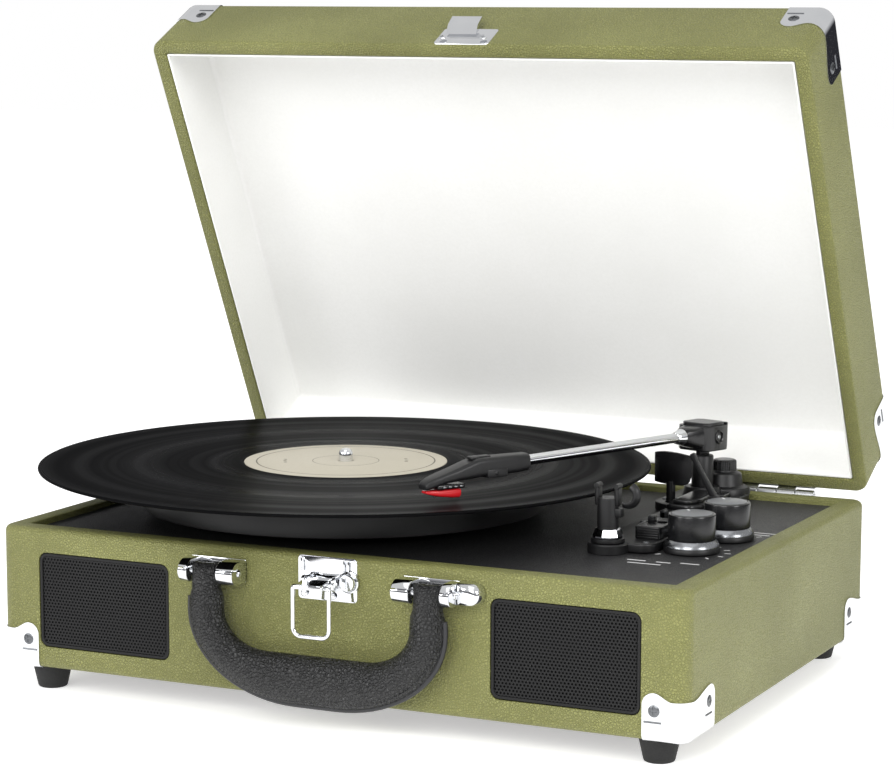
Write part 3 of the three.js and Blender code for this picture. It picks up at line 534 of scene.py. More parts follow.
# Bevel of the knobs: spun aluminium, a grey ring with a bright streak.
SPUN = Finish("aluminium, spun and bright", "steel", "#9c9ea1", "#75777a", 0.26,
              Grain.BRUSHED, 0.6, 0.012, metallic=1.0)
# Top of the knobs: satin ABS, mid-grey and lighter than their sides. The texture is drawn at 0.6 mm.
CAP_ABS = Finish("dark grey knob cap, satin mould", "black_plastic", "#6a6c6f", "#56585b", 0.32,
                 Grain.MOULDED, 0.6, 0.015)
# Chrome plate: mirror bright, with a touch of smear in the gloss.
CHROME = Finish("chrome plate, polished", "chrome", "#e6e7e9", "#d6d8db", 0.07,
                Grain.POLISHED, 12.0, 0.01, metallic=1.0)
# Nickel-plated steel, drawn and barrel-plated: greyer and softer than chrome.
NICKEL = Finish("nickel-plated steel, brushed", "steel", "#b9babb", "#a0a2a4", 0.28,
                Grain.BRUSHED, 0.6, 0.01, metallic=1.0)
# Zinc-plated screws: duller and darker than the plate round them.
SCREW = Finish("zinc-plated steel, barrelled", "steel", "#77797c", "#55575a", 0.3,
               Grain.BRUSHED, 0.5, 0.01, metallic=1.0)
# Moulded rubber: dull black with hardly a highlight.
RUBBER = Finish("black rubber, moulded", "rubber", "#1b1b1b", "#111111", 0.78, Grain.MOULDED, 0.8, 0.04)
# Mat: dull black rubber whose rings come from the shape.
MAT_RUBBER = Finish("black rubber mat, ribbed mould", "rubber", "#19191a", "#101010", 0.85,
                    Grain.PAPER, 0.7, 0.06)
# Record label: pressed paper, an even warm grey-cream without shine.
LABEL = Finish("cream label paper, pressed", "label_paper", "#bdb7a8", "#aea897", 0.7,
               Grain.PAPER, 1.2, 0.02)
# Print on the label: thin grey-brown ink.
LABEL_INK = Finish("grey-brown label ink, printed", "label_paper", "#6b6559", "#5c574c", 0.6,
                   Grain.PAPER, 1.2, 0.01)
# Stylus clip: polished polystyrene, clear red with a small highlight.
RED = Finish("red polystyrene, polished mould", "red_plastic", "#d8232a", "#b8151c", 0.25,
             Grain.POLISHED, 6.0, 0.01, coat=0.4)
# Circuit board: lacquered, dark green with a soft shine.
BOARD_GREEN = Finish("green circuit board, lacquered", "circuit_board", "#1f5b38", "#164a2c", 0.35,
                     Grain.POLISHED, 3.0, 0.02)
# Bottom board: pressed fibre, flat dark brown.
FIBREBOARD = Finish("dark fibreboard, pressed", "fibreboard", "#3a3027", "#2a231c", 0.8,
                    Grain.PAPER, 0.9, 0.05)
# Grilles: enamel on perforated steel, satin black between darker holes.
GRILLE_PAINT = Finish("black enamelled steel, perforated", "grille_metal", "#101011", "#0a0a0b", 0.42,
                      Grain.MOULDED, 0.6, 0.01, specular=0.3)
# Sheet behind the grilles: painted shade that keeps the holes dark, black without shine. Its fine texture is
# drawn at 0.5 mm to show.
GRILLE_SHADE_SHEET = Finish("black sheet behind grilles, painted shade", "grille_metal", "#0c0c0d", "#070707", 0.95,
                       Grain.PAPER, 0.5, 0.05)
# Legends on the deck: screen-printed ink, flat off-white.
WHITE_INK = Finish("white legend ink, screen printed", "deck_vinyl", "#d9d9d9", "#c4c4c4", 0.55,
                   Grain.PAPER, 1.0, 0.01)


def made_piece(name: str, shape: Shape, finish: Finish, body: str, replaces: tuple[str, ...] = (),
               place: Matrix | None = None, smooth: float = 38) -> bpy.types.Object:
    """Make one piece of the player from a shape in millimetres.

    Args:
        name: The piece's name.
        shape: Its surface, in the drawing's millimetres, before placing.
        finish: Its material.
        body: The moving body that it belongs to.
        replaces: The nodes of the frame that it stands for.
        place: Where the shape goes in the drawing, if it isn't drawn in place.
        smooth: Angle in degrees under which neighbouring faces are shaded as one.

    Returns:
        The piece.
    """
    mesh = to_mesh(name, placed(shape, place))
    mesh.materials.append(finish.made())
    mesh.shade_smooth()
    mesh.set_sharp_from_angle(angle=math.radians(smooth))
    piece = bpy.data.objects.new(name, mesh)
    bpy.context.scene.collection.objects.link(piece)
    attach(piece, body)
    if replaces:
        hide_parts(*replaces)
    LOG.info("made %s on %s", name, body)
    return piece


def placed(shape: Shape, place: Matrix | None) -> Shape:
    """Return a shape moved to its place and turned from drawing millimetres into metres of the frame."""
    return shape.moved(TO_FRAME @ place if place else TO_FRAME)


def dress(node: str, finish: Finish) -> None:
    """Give a node of the frame a finish.

    Args:
        node: The node's name.
        finish: The finish that it takes.
    """
    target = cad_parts[node]
    target.data.materials.clear()
    target.data.materials.append(finish.made())
    LOG.info("dressed %s", node)


# ---------- case ----------
CORNERS = (("front_left", -1, -1), ("front_right", 1, -1), ("back_left", -1, 1), ("back_right", 1, 1))
SIDES = (("left", -1), ("right", 1))
UNDERSIDE = 12.2  # height of the case's underside
LID_TOP = 122.9  # height of the lid's top while it is shut
HINGE_Y, HINGE_Z = 128.2, 78.6
LID_TURN = 63.4  # degrees from shut to the place it is drawn in
ARM_PIVOT = (100.5, 89.5)
# Each knob with its place, and the number and sweep of the ticks round it.
KNOBS = (("volume_knob", 139.5, -28.5, 11, 270), ("source_knob", 143.5, 7.5, 3, 90))
# Each rear socket with its place along X, radius, bore, stand and finish.
JACKS = (("power", -54, 5.2, 2.7, 2, GLOSS_ABS), ("headphone", -34, 4.4, 1.8, 2, GLOSS_ABS),
         ("line_in", -16, 4.4, 1.8, 2, GLOSS_ABS), ("line_left", 0, 4.2, 1.6, 7, NICKEL),
         ("line_right", 16, 4.2, 1.6, 7, NICKEL))
JACK_Z = 45.2


@dataclass
class Box:
    """Sizes that the two halves of the case share."""

    width: float = 350.0
    depth: float = 250.0
    corner: float = 7.0
    edge: float = 3.0

    def ring(self, inset: float, z: float, steps: int = 8) -> list[Point]:
        """Return the case outline at a height, moved in by an inset."""
        radius = max(self.corner - inset, 0.8)
        return [(x, y, z) for x, y in rounded(self.width - 2 * inset, self.depth - 2 * inset, radius, steps)]

    def edge_arc(self, z: float, rising: bool) -> list[tuple[float, float]]:
        """Draw the round outer edge of the case as insets and heights.

        Args:
            z: Height of the flat face that the edge runs into.
            rising: Whether the edge climbs from that face rather than up to it.

        Returns:
            Pairs of inset and height, from the bottom up.
        """
        r = self.edge
        arc = [(r * (1 - math.sin(a)), r * (1 - math.cos(a)))
               for a in (math.pi / 2 * i / 6 for i in range(7))]
        if rising:
            return [(inset, z + rise) for inset, rise in arc]
        return [(inset, z - rise) for inset, rise in reversed(arc)]


@dataclass
class Base:
    """The lower half of the case with its deck, feet, grilles and rear jacks."""

    box: Box
    low: float = UNDERSIDE
    high: float = 79.7
    wall: float = 10.5
    deck_top: float = 76.7
    deck_thick: float = 2.5
    grille_x: float = 117.6
    grille_z: float = 45.5
    grille_width: float = 70.8
    grille_height: float = 45.1
    hole_pitch: float = 1.75
    hole_radius: float = 0.56

    def build(self) -> None:
        """Build the half case and everything fixed to it."""
        self.shell()
        self.deck()
        self.feet()
        for name, side in SIDES:
            self.grille(name, side)
        self.jacks()
        for node, finish in (("bottom_board", FIBREBOARD), ("control_board", BOARD_GREEN), ("motor", NICKEL),
                             ("motor_pulley", NICKEL), ("platter_bearing", NICKEL), ("drive_belt", RUBBER),
                             ("speaker_left", SATIN_ABS), ("speaker_right", SATIN_ABS)):
            dress(node, finish)

    def shell(self) -> None:
        """Build the covered shell: round outer edges, a soft rim and an open inside."""
        under = self.deck_top - self.deck_thick - 0.3
        profile = self.box.edge_arc(self.low, True) + self.box.edge_arc(self.high, False)
        profile += [(self.wall - 1.0, self.high), (self.wall - 0.3, self.high - 0.3),
                    (self.wall, self.high - 1.0), (self.wall, under), (self.wall + 3, under),
                    (self.wall + 3, self.low + 5.8), (self.wall, self.low + 5.8), (self.wall, self.low)]
        shape = loft([self.box.ring(inset, z) for inset, z in profile], closed=True)
        front = -self.box.depth / 2
        tools = []
        for _, side in SIDES:
            recess = slab(rounded(self.grille_width + 0.6, self.grille_height + 0.6, 4.3, 6), -1, 3.3)
            tools.append(recess_tool(recess, side * self.grille_x, front, self.grille_z))
            tools.append(rod((side * self.grille_x, front - 2, self.grille_z),
                             (side * self.grille_x, front + 18, self.grille_z), 17.5, sides=48))
        tools.append(bar((-66.3, 26.3), (self.box.depth / 2 - 2.8, self.box.depth / 2 + 3), (32.9, 57.5),
                         0.4))
        for _, x, *_ in JACKS:
            tools.append(rod((x, self.box.depth / 2 - 16, JACK_Z), (x, self.box.depth / 2 + 2, JACK_Z), 5.9))
        made_piece("case_base_cover", carved(shape, tools), LEATHERCLOTH, "case", ("base_shell",))

    def deck(self) -> None:
        """Dress the deck and print its legends: plain ticks round the knobs, and dashes."""
        dress("deck_plate", DECK_VINYL)
        top = self.deck_top + 0.02
        marks = []
        for _, x, y, count, sweep in KNOBS:
            for i in range(count):
                a = math.radians(-90 + sweep * (i / (count - 1) - 0.5) + 180)
                tick = bar((15.4, 18.2), (-0.4, 0.4), (top, top + 0.06), 0)
                marks.append(tick.turned(math.degrees(a), "Z").at(x, y, 0))
        dashes = ((124, -58, 9), (137, -58, 7), (149, -56, 9), (130, -64, 16), (155, 24, 8), (155, 29, 11))
        for x, y, length in dashes:
            marks.append(bar((x - length / 2, x + length / 2), (y - 0.6, y + 0.6), (top, top + 0.06), 0))
        made_piece("deck_ticks", joined(marks), WHITE_INK, "case")

    def feet(self) -> None:
        """Build the tapered rubber feet, each with a recessed sole ring."""
        for name, sx, sy in CORNERS:
            profile = [(0, 0.6), (3.2, 0.6), (3.6, 0), (6.2, 0), (6.8, 0.3), (7.1, 0.9), (9.3, 10.6),
                       (9.5, 11.2), (9.5, 12.05), (0, 12.05)]
            made_piece(f"rubber_foot_{name}", lathe(profile, 48).at(sx * 156.5, sy * 110, 0), RUBBER, "case",
                       (f"foot_{name}",))

    def grille(self, name: str, side: int) -> None:
        """Build one perforated grille: staggered round holes in a thin sheet, in a plain border.

        Args:
            name: Which side it is on, in words.
            side: -1 on the left, 1 on the right.
        """
        width, height = self.grille_width, self.grille_height
        border = 1.3
        front = -self.box.depth / 2 + 0.25
        sheet = perforated(width / 2 - border, height / 2 - border, self.hole_pitch, self.hole_radius)
        sheet = standing(sheet).at(side * self.grille_x, front + 0.35, self.grille_z)
        outer = rounded(width, height, 4, 8)
        inner = rounded(width - 2 * border - 0.6, height - 2 * border - 0.6, 2.7, 8)
        frame_rings = [[(x, y, z) for x, y in outline] for outline, z in
                       ((outer, -2.5), (outer, -0.3), (inset_outline(outer, 0.3), 0),
                        (inset_outline(inner, -0.2), 0), (inner, -0.3), (inner, -2.5))]
        rim = standing(loft(frame_rings, closed=True)).at(side * self.grille_x, front, self.grille_z)
        # A black sheet behind the holes: painted shade, so that they read dark.
        cloth = slab(rounded(width - 1, height - 1, 3.6, 6), -2.4, -1.4)
        made_piece(f"grille_sheet_{name}", sheet + rim, GRILLE_PAINT, "case", (f"grille_{name}",))
        made_piece(f"grille_shade_sheet_{name}", standing(cloth).at(side * self.grille_x, front, self.grille_z),
                   GRILLE_SHADE_SHEET, "case")

    def jacks(self) -> None:
        """Build the rear panel with its power inlet, two small sockets and two line outputs."""
        face = self.box.depth / 2 - 0.3
        plate = standing(slab(rounded(92, 24, 2, 5), -2.2, 0, 0.4)).turned(180, "Z").at(-20, face, JACK_Z)
        holes = [rod((x, face - 5, JACK_Z), (x, face + 2, JACK_Z), radius - 0.4)
                 for _, x, radius, *_ in JACKS]
        made_piece("jack_plate", carved(plate, holes), SATIN_ABS, "case", ("jack_panel",))
        for label, x, radius, bore, stand, finish in JACKS:
            made_piece(f"socket_{label}", socket(radius, bore, stand).at(x, face, JACK_Z), finish, "case")
        inlet = JACKS[0][1]
        pin = rod((inlet, face - 7, JACK_Z), (inlet, face + 0.5, JACK_Z), 0.7, sides=16)
        made_piece("power_pin", pin, NICKEL, "case")


def recess_tool(recess: Shape, x: float, front: float, z: float) -> Shape:
    """Stand a recess cutter upright so that it cuts back from the front face."""
    return recess.turned(-90, "X").at(x, front, z)


def socket(radius: float, bore: float, stand: float) -> Shape:
    """Return a round socket about the origin that points to +Y, with a bore."""
    profile = [(bore, -7), (radius - 0.6, -7), (radius - 0.6, stand - 1.2), (radius - 0.9, stand - 0.3),
               (radius - 1.2, stand), (bore + 0.4, stand), (bore, stand - 0.4)]
    return lathe(profile, 40, closed=True).turned(-90, "X")


def perforated(half_x: float, half_y: float, pitch: float, hole: float) -> Shape:
    """Return a thin sheet of staggered round holes: one six-sided cell round each hole, front and back.

    Args:
        half_x: Half the width that holes fill.
        half_y: Half the height that holes fill.
        pitch: Distance between neighbouring holes.
        hole: Radius of each hole.

    Returns:
        The sheet, in XY, 0.4 mm thick below z = 0.
    """
    shape = Shape()
    rise = pitch * math.sqrt(3) / 2
    rows = int(half_y / rise)
    sides = 12
    cell = []
    for k in range(sides):
        a = 2 * math.pi * k / sides
        reach = pitch / 2 / math.cos((a + math.pi / 6) % (math.pi / 3) - math.pi / 6)
        cell.append((reach * math.cos(a), reach * math.sin(a)))
    rim = [(hole * math.cos(2 * math.pi * k / sides), hole * math.sin(2 * math.pi * k / sides))
           for k in range(sides)]
    for row in range(-rows, rows + 1):
        shift = pitch / 2 if row % 2 else 0
        count = int((half_x - shift) / pitch)
        for column in range(-count - (1 if shift else 0), count + 1):
            x, y = column * pitch + shift, row * rise
            start = len(shape.verts)
            for ring, z in ((cell, 0), (rim, 0), (rim, -0.4), (cell, -0.4)):
                shape.verts += [Vector((x + u, y + v, z)) for u, v in ring]
            for k in range(sides):
                n = (k + 1) % sides
                for level in range(3):
                    a, b = start + level * sides, start + (level + 1) * sides
                    shape.faces.append((a + k, a + n, b + n, b + k))
    return shape


@dataclass
class Guards:
    """Chrome corner guards: three leaves round each corner, held by a screw in each side leaf."""

    box: Box
    front_reach: float = 21.0
    side_reach: float = 32.0
    height: float = 21.5
    lip: float = 4.6
    clear: float = 0.1
    thick: float = 0.4
    lobe: float = 5.5
    dip: float = 0.16

    def build(self, place: Matrix) -> None:
        """Build the guards of both halves.

        Args:
            place: The turn of the opened lid.
        """
        for name, sx, sy in CORNERS:
            flip = Matrix.Diagonal((sx, -sy, 1, 1))
            for half, level, up, body, turn in (("base", UNDERSIDE, 1, "case", None),
                                                ("lid", LID_TOP, -1, "lid", place)):
                made_piece(f"corner_guard_{half}_{name}", self.leaves(level, up).moved(flip), CHROME, body,
                           (f"{half}_guard_{name}",), turn, smooth=60)
                made_piece(f"guard_screws_{half}_{name}", self.screws(level, up).moved(flip), SCREW, body,
                           place=turn)

    def screws(self, level: float, up: int) -> Shape:
        """Draw both screws of the guard at +X and -Y, and the bead beside each.

        Args:
            level: Height of the case face that the guard folds over.
            up: 1 when the side leaves rise from that face, -1 when they hang from it.

        Returns:
            The screws and beads.
        """
        x, y = self.box.width / 2, -self.box.depth / 2
        skin = self.clear + self.thick - 0.1
        head = cross_head(2.7, 0.55)
        z = level + up * 8.6
        beads = [tube([(x - 20, y - skin + 0.1, z), (x - 12, y - skin + 0.1, z)], 0.55, 8),
                 tube([(x + skin - 0.1, y + 28, z), (x + skin - 0.1, y + 21, z)], 0.55, 8)]
        return joined([head.turned(90, "X").at(x - 15.4, y - skin, level + up * 13.6),
                       head.turned(90, "Y").at(x + skin, y + 25, level + up * 14.2), *beads])

    def leaves(self, level: float, up: int) -> Shape:
        """Return one guard for the corner at +X and -Y.

        Args:
            level: Height of the case face that the guard folds over.
            up: 1 when the side leaves rise from that face, -1 when they hang from it.

        Returns:
            The guard.
        """
        inner, outer = [], []
        for u, height in self.stations():
            column = self.column(height)
            for row, grow in ((inner, self.clear), (outer, self.clear + self.thick)):
                row.append([self.point(u, inset, rise, grow, level, up) for inset, rise in column])
        return loft([a + list(reversed(b)) for a, b in zip(inner, outer)])

    def stations(self) -> list[tuple[float, float]]:
        """Step along the guard, from the end of the side leaf to the end of the front leaf.

        Returns:
            Pairs of the distance from the corner's start along the outline, and the leaf's height there.
        """
        corner = self.box.corner
        side, front = self.side_reach - corner, self.front_reach - corner
        arc = math.pi / 2 * corner
        even = 0.7  # share of a leaf with even steps; the rest has finer ones, for the round end
        shares = [i / 14 * even for i in range(15)]
        shares += [even + 0.3 * math.sin(math.pi / 2 * i / 12) for i in range(1, 13)]
        places = [(-side * t, self.scallop(t, side)) for t in reversed(shares)]
        places += [(arc * i / 8, self.scallop(0, side)) for i in range(1, 9)]
        places += [(arc + front * t, self.scallop(t, front)) for t in shares[1:]]
        return places

    def scallop(self, t: float, length: float) -> float:
        """Work out how high a leaf stands: low at the corner, then a lobe with a round end.

        Args:
            t: Share of the leaf's length, from the corner.
            length: The leaf's length.

        Returns:
            The height there.
        """
        start = 1 - self.lobe / length
        swell = min(t / start, 1.0)
        rise = self.height * (1 - self.dip * (1 - swell * swell * (3 - 2 * swell)))
        over = max((t - start) / (1 - start), 0.0)
        return rise - self.lobe * (1 - math.sqrt(max(1 - over * over, 0.0)))

    def column(self, height: float) -> list[tuple[float, float]]:
        """Run along one column of the guard: in from the lip, round the edge and up the side.

        Args:
            height: How high the leaf stands there.

        Returns:
            Pairs of inset and rise.
        """
        edge = self.box.edge
        rows = [(self.lip, 0.0), (edge + 0.4, 0.0)]
        rows += [(edge * (1 - math.sin(a)), edge * (1 - math.cos(a)))
                 for a in (math.pi / 2 * i / 5 for i in range(6))]
        rows += [(0.0, edge + (height - edge) * i / 5) for i in range(1, 6)]
        return rows

    def point(self, u: float, inset: float, rise: float, grow: float, level: float, up: int) -> Point:
        """Place one point of the guard.

        Args:
            u: Distance along the outline from the corner's start.
            inset: Distance in from the case's outline.
            rise: Distance from the face that the guard folds over.
            grow: How far outside the case the surface lies.
            level: Height of that face.
            up: 1 when the leaves rise from it, -1 when they hang from it.

        Returns:
            The point.
        """
        edge, corner = self.box.edge, self.box.corner
        if inset > edge or rise == 0:
            out, lift = 0.0, -1.0
        elif rise >= edge:
            out, lift = 1.0, 0.0
        else:
            out, lift = (edge - inset) / edge, -(edge - rise) / edge
        reach = -inset + grow * out
        z = level + up * (rise + grow * lift)
        arc = math.pi / 2 * corner
        middle = (self.box.width / 2 - corner, -self.box.depth / 2 + corner)
        if u < 0:
            return (middle[0] + corner + reach, middle[1] - u, z)
        if u > arc:
            return (middle[0] - (u - arc), middle[1] - corner - reach, z)
        a = u / corner
        return (middle[0] + (corner + reach) * math.cos(a), middle[1] - (corner + reach) * math.sin(a), z)


@dataclass
class Lid:
    """The lid with its lining, catch and hinges, drawn closed and turned open about the hinge."""

    box: Box
    place: Matrix
    low: float = 80.7
    high: float = LID_TOP
    rim: float = 7.3
    panel: float = 4.0

    def build(self) -> None:
        """Build the lid and its hardware."""
        self.shell()
        self.lining()
        self.catch()
        self.hinges()

    def shell(self) -> None:
        """Build the covered lid: round edges outside and a soft rim."""
        profile = [(self.rim, self.high - self.panel), (self.rim, self.low + 0.9),
                   (self.rim - 0.3, self.low + 0.3), (self.rim - 0.9, self.low), (1.2, self.low),
                   (0.4, self.low + 0.3), (0, self.low + 1.2)]
        profile += self.box.edge_arc(self.high, False)
        shape = loft([self.box.ring(inset, z) for inset, z in profile])
        made_piece("lid_cover", shape, LEATHERCLOTH, "lid", ("lid_shell",), self.place)

    def lining(self) -> None:
        """Build the lining: a shallow paper tray with a soft fold where its sides meet the panel."""
        out, top = self.rim + 0.3, self.high - self.panel - 0.3
        inside = out + 0.9
        fold = [(inside + 2.2 * (1 - math.cos(a)), top - 0.9 - 2.2 * (1 - math.sin(a)))
                for a in (math.pi / 2 * i / 5 for i in range(6))]
        profile = [(out, top), (out, self.low + 0.7), (out + 0.3, self.low + 0.5),
                   (inside, self.low + 0.7)] + fold
        shape = loft([self.box.ring(inset, z, 5) for inset, z in profile])
        made_piece("lid_lining_tray", shape, LINING, "lid", ("lid_lining",), self.place)

    def catch(self) -> None:
        """Build the catch on the lid's front: a chrome plate with a hooked tongue."""
        front = -self.box.depth / 2
        plate = standing(slab(rounded(29.2, 15.6, 1.6, 5), -1.3, 0.1, 0.35))
        plate = plate.at(-0.6, front - 0.25, self.low + 8.2)
        hook_side = [(front - 1, self.low + 9), (front - 4.2, self.low + 13), (front - 5.4, self.low + 19.2),
                (front - 4.3, self.low + 19.4), (front - 2.9, self.low + 14.4), (front - 1, self.low + 13)]
        hook = loft([[(x, y, z) for y, z in hook_side] for x in (-11.6, 4.4)])
        screws = [cross_head(1.9, 0.6).turned(90, "X").at(x, front - 1.5, self.low + 4.2)
                  for x in (-11.6, 10.4)]
        made_piece("lid_catch_plate", joined([plate, hook, *screws]), CHROME, "lid", ("lid_catch",),
                   self.place)

    def hinges(self) -> None:
        """Build both butt hinges: rolled knuckles shared between two screwed leaves."""
        y, z, radius, length = HINGE_Y, HINGE_Z, 2.8, 50.0
        wall = self.box.depth / 2 + 0.25
        for name, side in SIDES:
            for half, body, place in ((-1, "case", None), (1, "lid", self.place)):
                leaf = standing(slab(rounded(length, 11.2, 1.2, 4), -0.5, 0.5, 0.2))
                pieces = [leaf.at(0, wall + 0.5, z + half * 8.9)]
                for i in range(5):
                    if (i % 2 == 1) != (half > 0):
                        continue
                    x0, x1 = -length / 2 + 10 * i + 0.2, -length / 2 + 10 * i + 9.8
                    pieces.append(rod((x0, y, z), (x1, y, z), radius))
                    pieces.append(bar((x0, x1), (wall, wall + 1), tuple(sorted((z, z + half * 4.6))), 0.2))
                if half < 0:
                    pieces.append(rod((-length / 2, y, z), (length / 2, y, z), 1.2))
                for x in (-17, 0, 17):
                    pieces.append(cross_head(2.1, 0.7).turned(-90, "X").at(x, wall + 0.9, z + half * 9.6))
                label = "base" if half < 0 else "lid"
                made_piece(f"hinge_{label}_{name}", joined(pieces).at(side * 122, 0, 0), NICKEL, body,
                           (f"hinge_{label}_leaf_{name}",), place)


# ---------- front hardware ----------
def sideways(shape: Shape) -> Shape:
    """Turn a shape drawn in XY so that its X runs back, its Y runs up and its height runs to the right."""
    return shape.moved(Matrix(((0, 0, 1, 0), (1, 0, 0, 0), (0, 1, 0, 0), (0, 0, 0, 1))))


def softened(points: Corners, radius: float, steps: int = 4) -> Corners:
    """Round off the corners of an outline.

    Args:
        points: The sharp corners, in order.
        radius: How far from each corner the bend starts, within the sides beside it.
        steps: Steps round each corner.

    Returns:
        The rounded outline.
    """
    outline = []
    for i, point in enumerate(points):
        here = Vector(point)
        back, ahead = Vector(points[i - 1]) - here, Vector(points[(i + 1) % len(points)]) - here
        reach = min(radius, back.length * 0.45, ahead.length * 0.45)
        a, b = here + back.normalized() * reach, here + ahead.normalized() * reach
        for k in range(steps + 1):
            t = k / steps
            spot = a * (1 - t) ** 2 + here * 2 * t * (1 - t) + b * t ** 2
            outline.append((spot.x, spot.y))
    return outline


@dataclass
class Handle:
    """Padded grip with a welt round its outer edge, hung on pins between two pairs of chrome ears."""

    pivot_y: float = -133.5
    pivot_z: float = 69.2
    middle_y: float = -134.4
    half_thick: float = 6.3
    end: float = 49.0
    end_outer: float = 63.5
    outer: float = 64.6
    inner: float = 47.5
    low: float = 12.2
    low_inner: float = 35.4
    outer_bend: tuple[float, float] = (54.0, 39.0)
    inner_bend: tuple[float, float] = (22.0, 17.0)

    def build(self) -> None:
        """Build the grip and both brackets."""
        self.grip()
        for name, side in SIDES:
            self.bracket(name, side)

    def half(self) -> list[tuple[tuple[float, float], tuple[float, float], float]]:
        """Step along the grip from its middle to its right end.

        Returns:
            For each place the outer point, the inner point and half the thickness.
        """
        rows = []
        (out_x, out_z), (in_x, in_z) = self.outer_bend, self.inner_bend
        for i in range(9):
            t = i / 8
            rows.append((((self.outer - out_x) * t, self.low), ((self.inner - in_x) * t, self.low_inner),
                         self.half_thick))
        for i in range(1, 19):
            c, d = math.sin(math.pi / 2 * i / 18), 1 - math.cos(math.pi / 2 * i / 18)
            rows.append(((self.outer - out_x + out_x * c, self.low + out_z * d),
                         (self.inner - in_x + in_x * c, self.low_inner + in_z * d), self.half_thick))
        rows.append(((self.outer, 53), (self.inner, 55), self.half_thick))
        rows.append(((self.outer - 0.2, 57.5), (self.inner + 0.3, 59), self.half_thick - 0.1))
        rows.append(((self.end_outer - 0.3, 61.8), (self.end + 0.1, 62.2), self.half_thick - 0.5))
        rows.append(((self.end_outer - 0.5, 66), (self.end + 0.3, 66), self.half_thick - 1.0))
        for i in range(1, 6):
            a = math.pi / 2 * i / 5.3
            rows.append(((self.end_outer - 0.5, self.pivot_z + 4.4 * math.sin(a)),
                         (self.end + 0.3, self.pivot_z + 4.4 * math.sin(a)),
                         (self.half_thick - 1.2) * math.cos(a)))
        return rows

    def grip(self) -> None:
        """Build the grip as one lofted pad, the welt on its outer edge and the stitches beside it."""
        right = self.half()
        left = [((-o[0], o[1]), (-n[0], n[1]), h) for o, n, h in reversed(right[1:])]
        sides = 28
        rings, edge = [], []
        for outer, inner, half_thick in left + right:
            middle = Vector(((outer[0] + inner[0]) / 2, 0, (outer[1] + inner[1]) / 2))
            across = Vector((outer[0] - inner[0], 0, outer[1] - inner[1])) / 2
            ring = []
            for k in range(sides):
                a = 2 * math.pi * k / sides
                c, s = math.cos(a), math.sin(a)
                out = math.copysign(abs(c) ** 0.92, c)
                swell = math.copysign(abs(s) ** 1.15, s)
                ring.append(tuple(middle + across * out + Vector((0, self.middle_y + half_thick * swell, 0))))
            rings.append(ring)
            if outer[1] < 61:
                edge.append((middle.x + across.x, self.middle_y, middle.z + across.z))
        pad = made_piece("grip_pad", loft(rings), GRIP, "carry_handle", ("carry_handle",), smooth=70)
        made_piece("grip_welt", tube(edge, 1.35, 12), GRIP_WELT, "carry_handle", smooth=70)
        stitches = []
        for i in range(2, len(edge) - 2):
            a, b = Vector(edge[i]), Vector(edge[i + 1])
            inwards = (Vector((0, self.middle_y, 48)) - a).normalized() * 2.4
            for t in (0.1, 0.6):
                p = a.lerp(b, t) + inwards
                q = a.lerp(b, t + 0.3) + inwards
                stitches.append(tube([(p.x, self.middle_y - 4.15, p.z), (q.x, self.middle_y - 4.15, q.z)],
                                     0.22, 6))
        made_piece("grip_stitches", joined(stitches), GRIP_WELT, "carry_handle")

    def bracket(self, name: str, side: int) -> None:
        """Build one bracket: two ears, pin, back plate, rivet and, on the right, a domed end.

        Args:
            name: Which side it is on, in words.
            side: -1 on the left, 1 on the right.
        """
        back, low, high = -125.2, 64.0, 74.7
        outline = softened([(back, low), (-136.4, low), (-139.7, 67.2), (-139.7, 71.4), (-136.2, high),
                            (back, high)], 2.6)
        pieces = []
        for x0, x1 in ((self.end_outer + 0.3, self.end_outer + 5), (40, self.end - 0.3)):
            a, b = sorted((side * x0, side * x1))
            pieces.append(sideways(slab(outline[::-1], a, b, 0.5)))
            seam = sideways(slab(softened([(-140.1, 68.7), (-140.1, 69.3), (-134, 69.3), (-134, 68.7)][::-1],
                                          0.1, 1), a, b, 0))
            pieces[-1] = carved(pieces[-1], [seam.at(0, 0, 2.2)])
        a, b = sorted((side * 40, side * (self.end_outer + 5)))
        pieces.append(bar((a, b), (back - 1.5, back), (low, high), 0.4))
        pieces.append(rod((a + 1, self.pivot_y, self.pivot_z), (b - 1, self.pivot_y, self.pivot_z), 1.8))
        rivet = lathe([(1.9, 0), (1.9, 0.4), (1.4, 0.9), (0, 1.1)], 24)
        pieces.append(rivet.turned(90, "Y").at(b, self.pivot_y + 1, self.pivot_z))
        if side > 0:
            bend = arc_points((74.7, 69.35), 5.25, -90, 90, 14)
            dome = [(68, 64.1), (74.7, 64.1), *bend[1:], (68, 74.6)]
            rings = []
            for depth, grow in ((0, 1.0), (3.4, 1.0), (5.4, 0.93), (6.7, 0.78), (7.3, 0.55), (7.5, 0.25)):
                rings.append([(74 + (x - 74) * grow, back - depth, 69.35 + (z - 69.35) * grow)
                              for x, z in dome])
            pieces.append(loft(rings))
        made_piece(f"bracket_{name}", joined(pieces), CHROME, "case", (f"handle_bracket_{name}",))


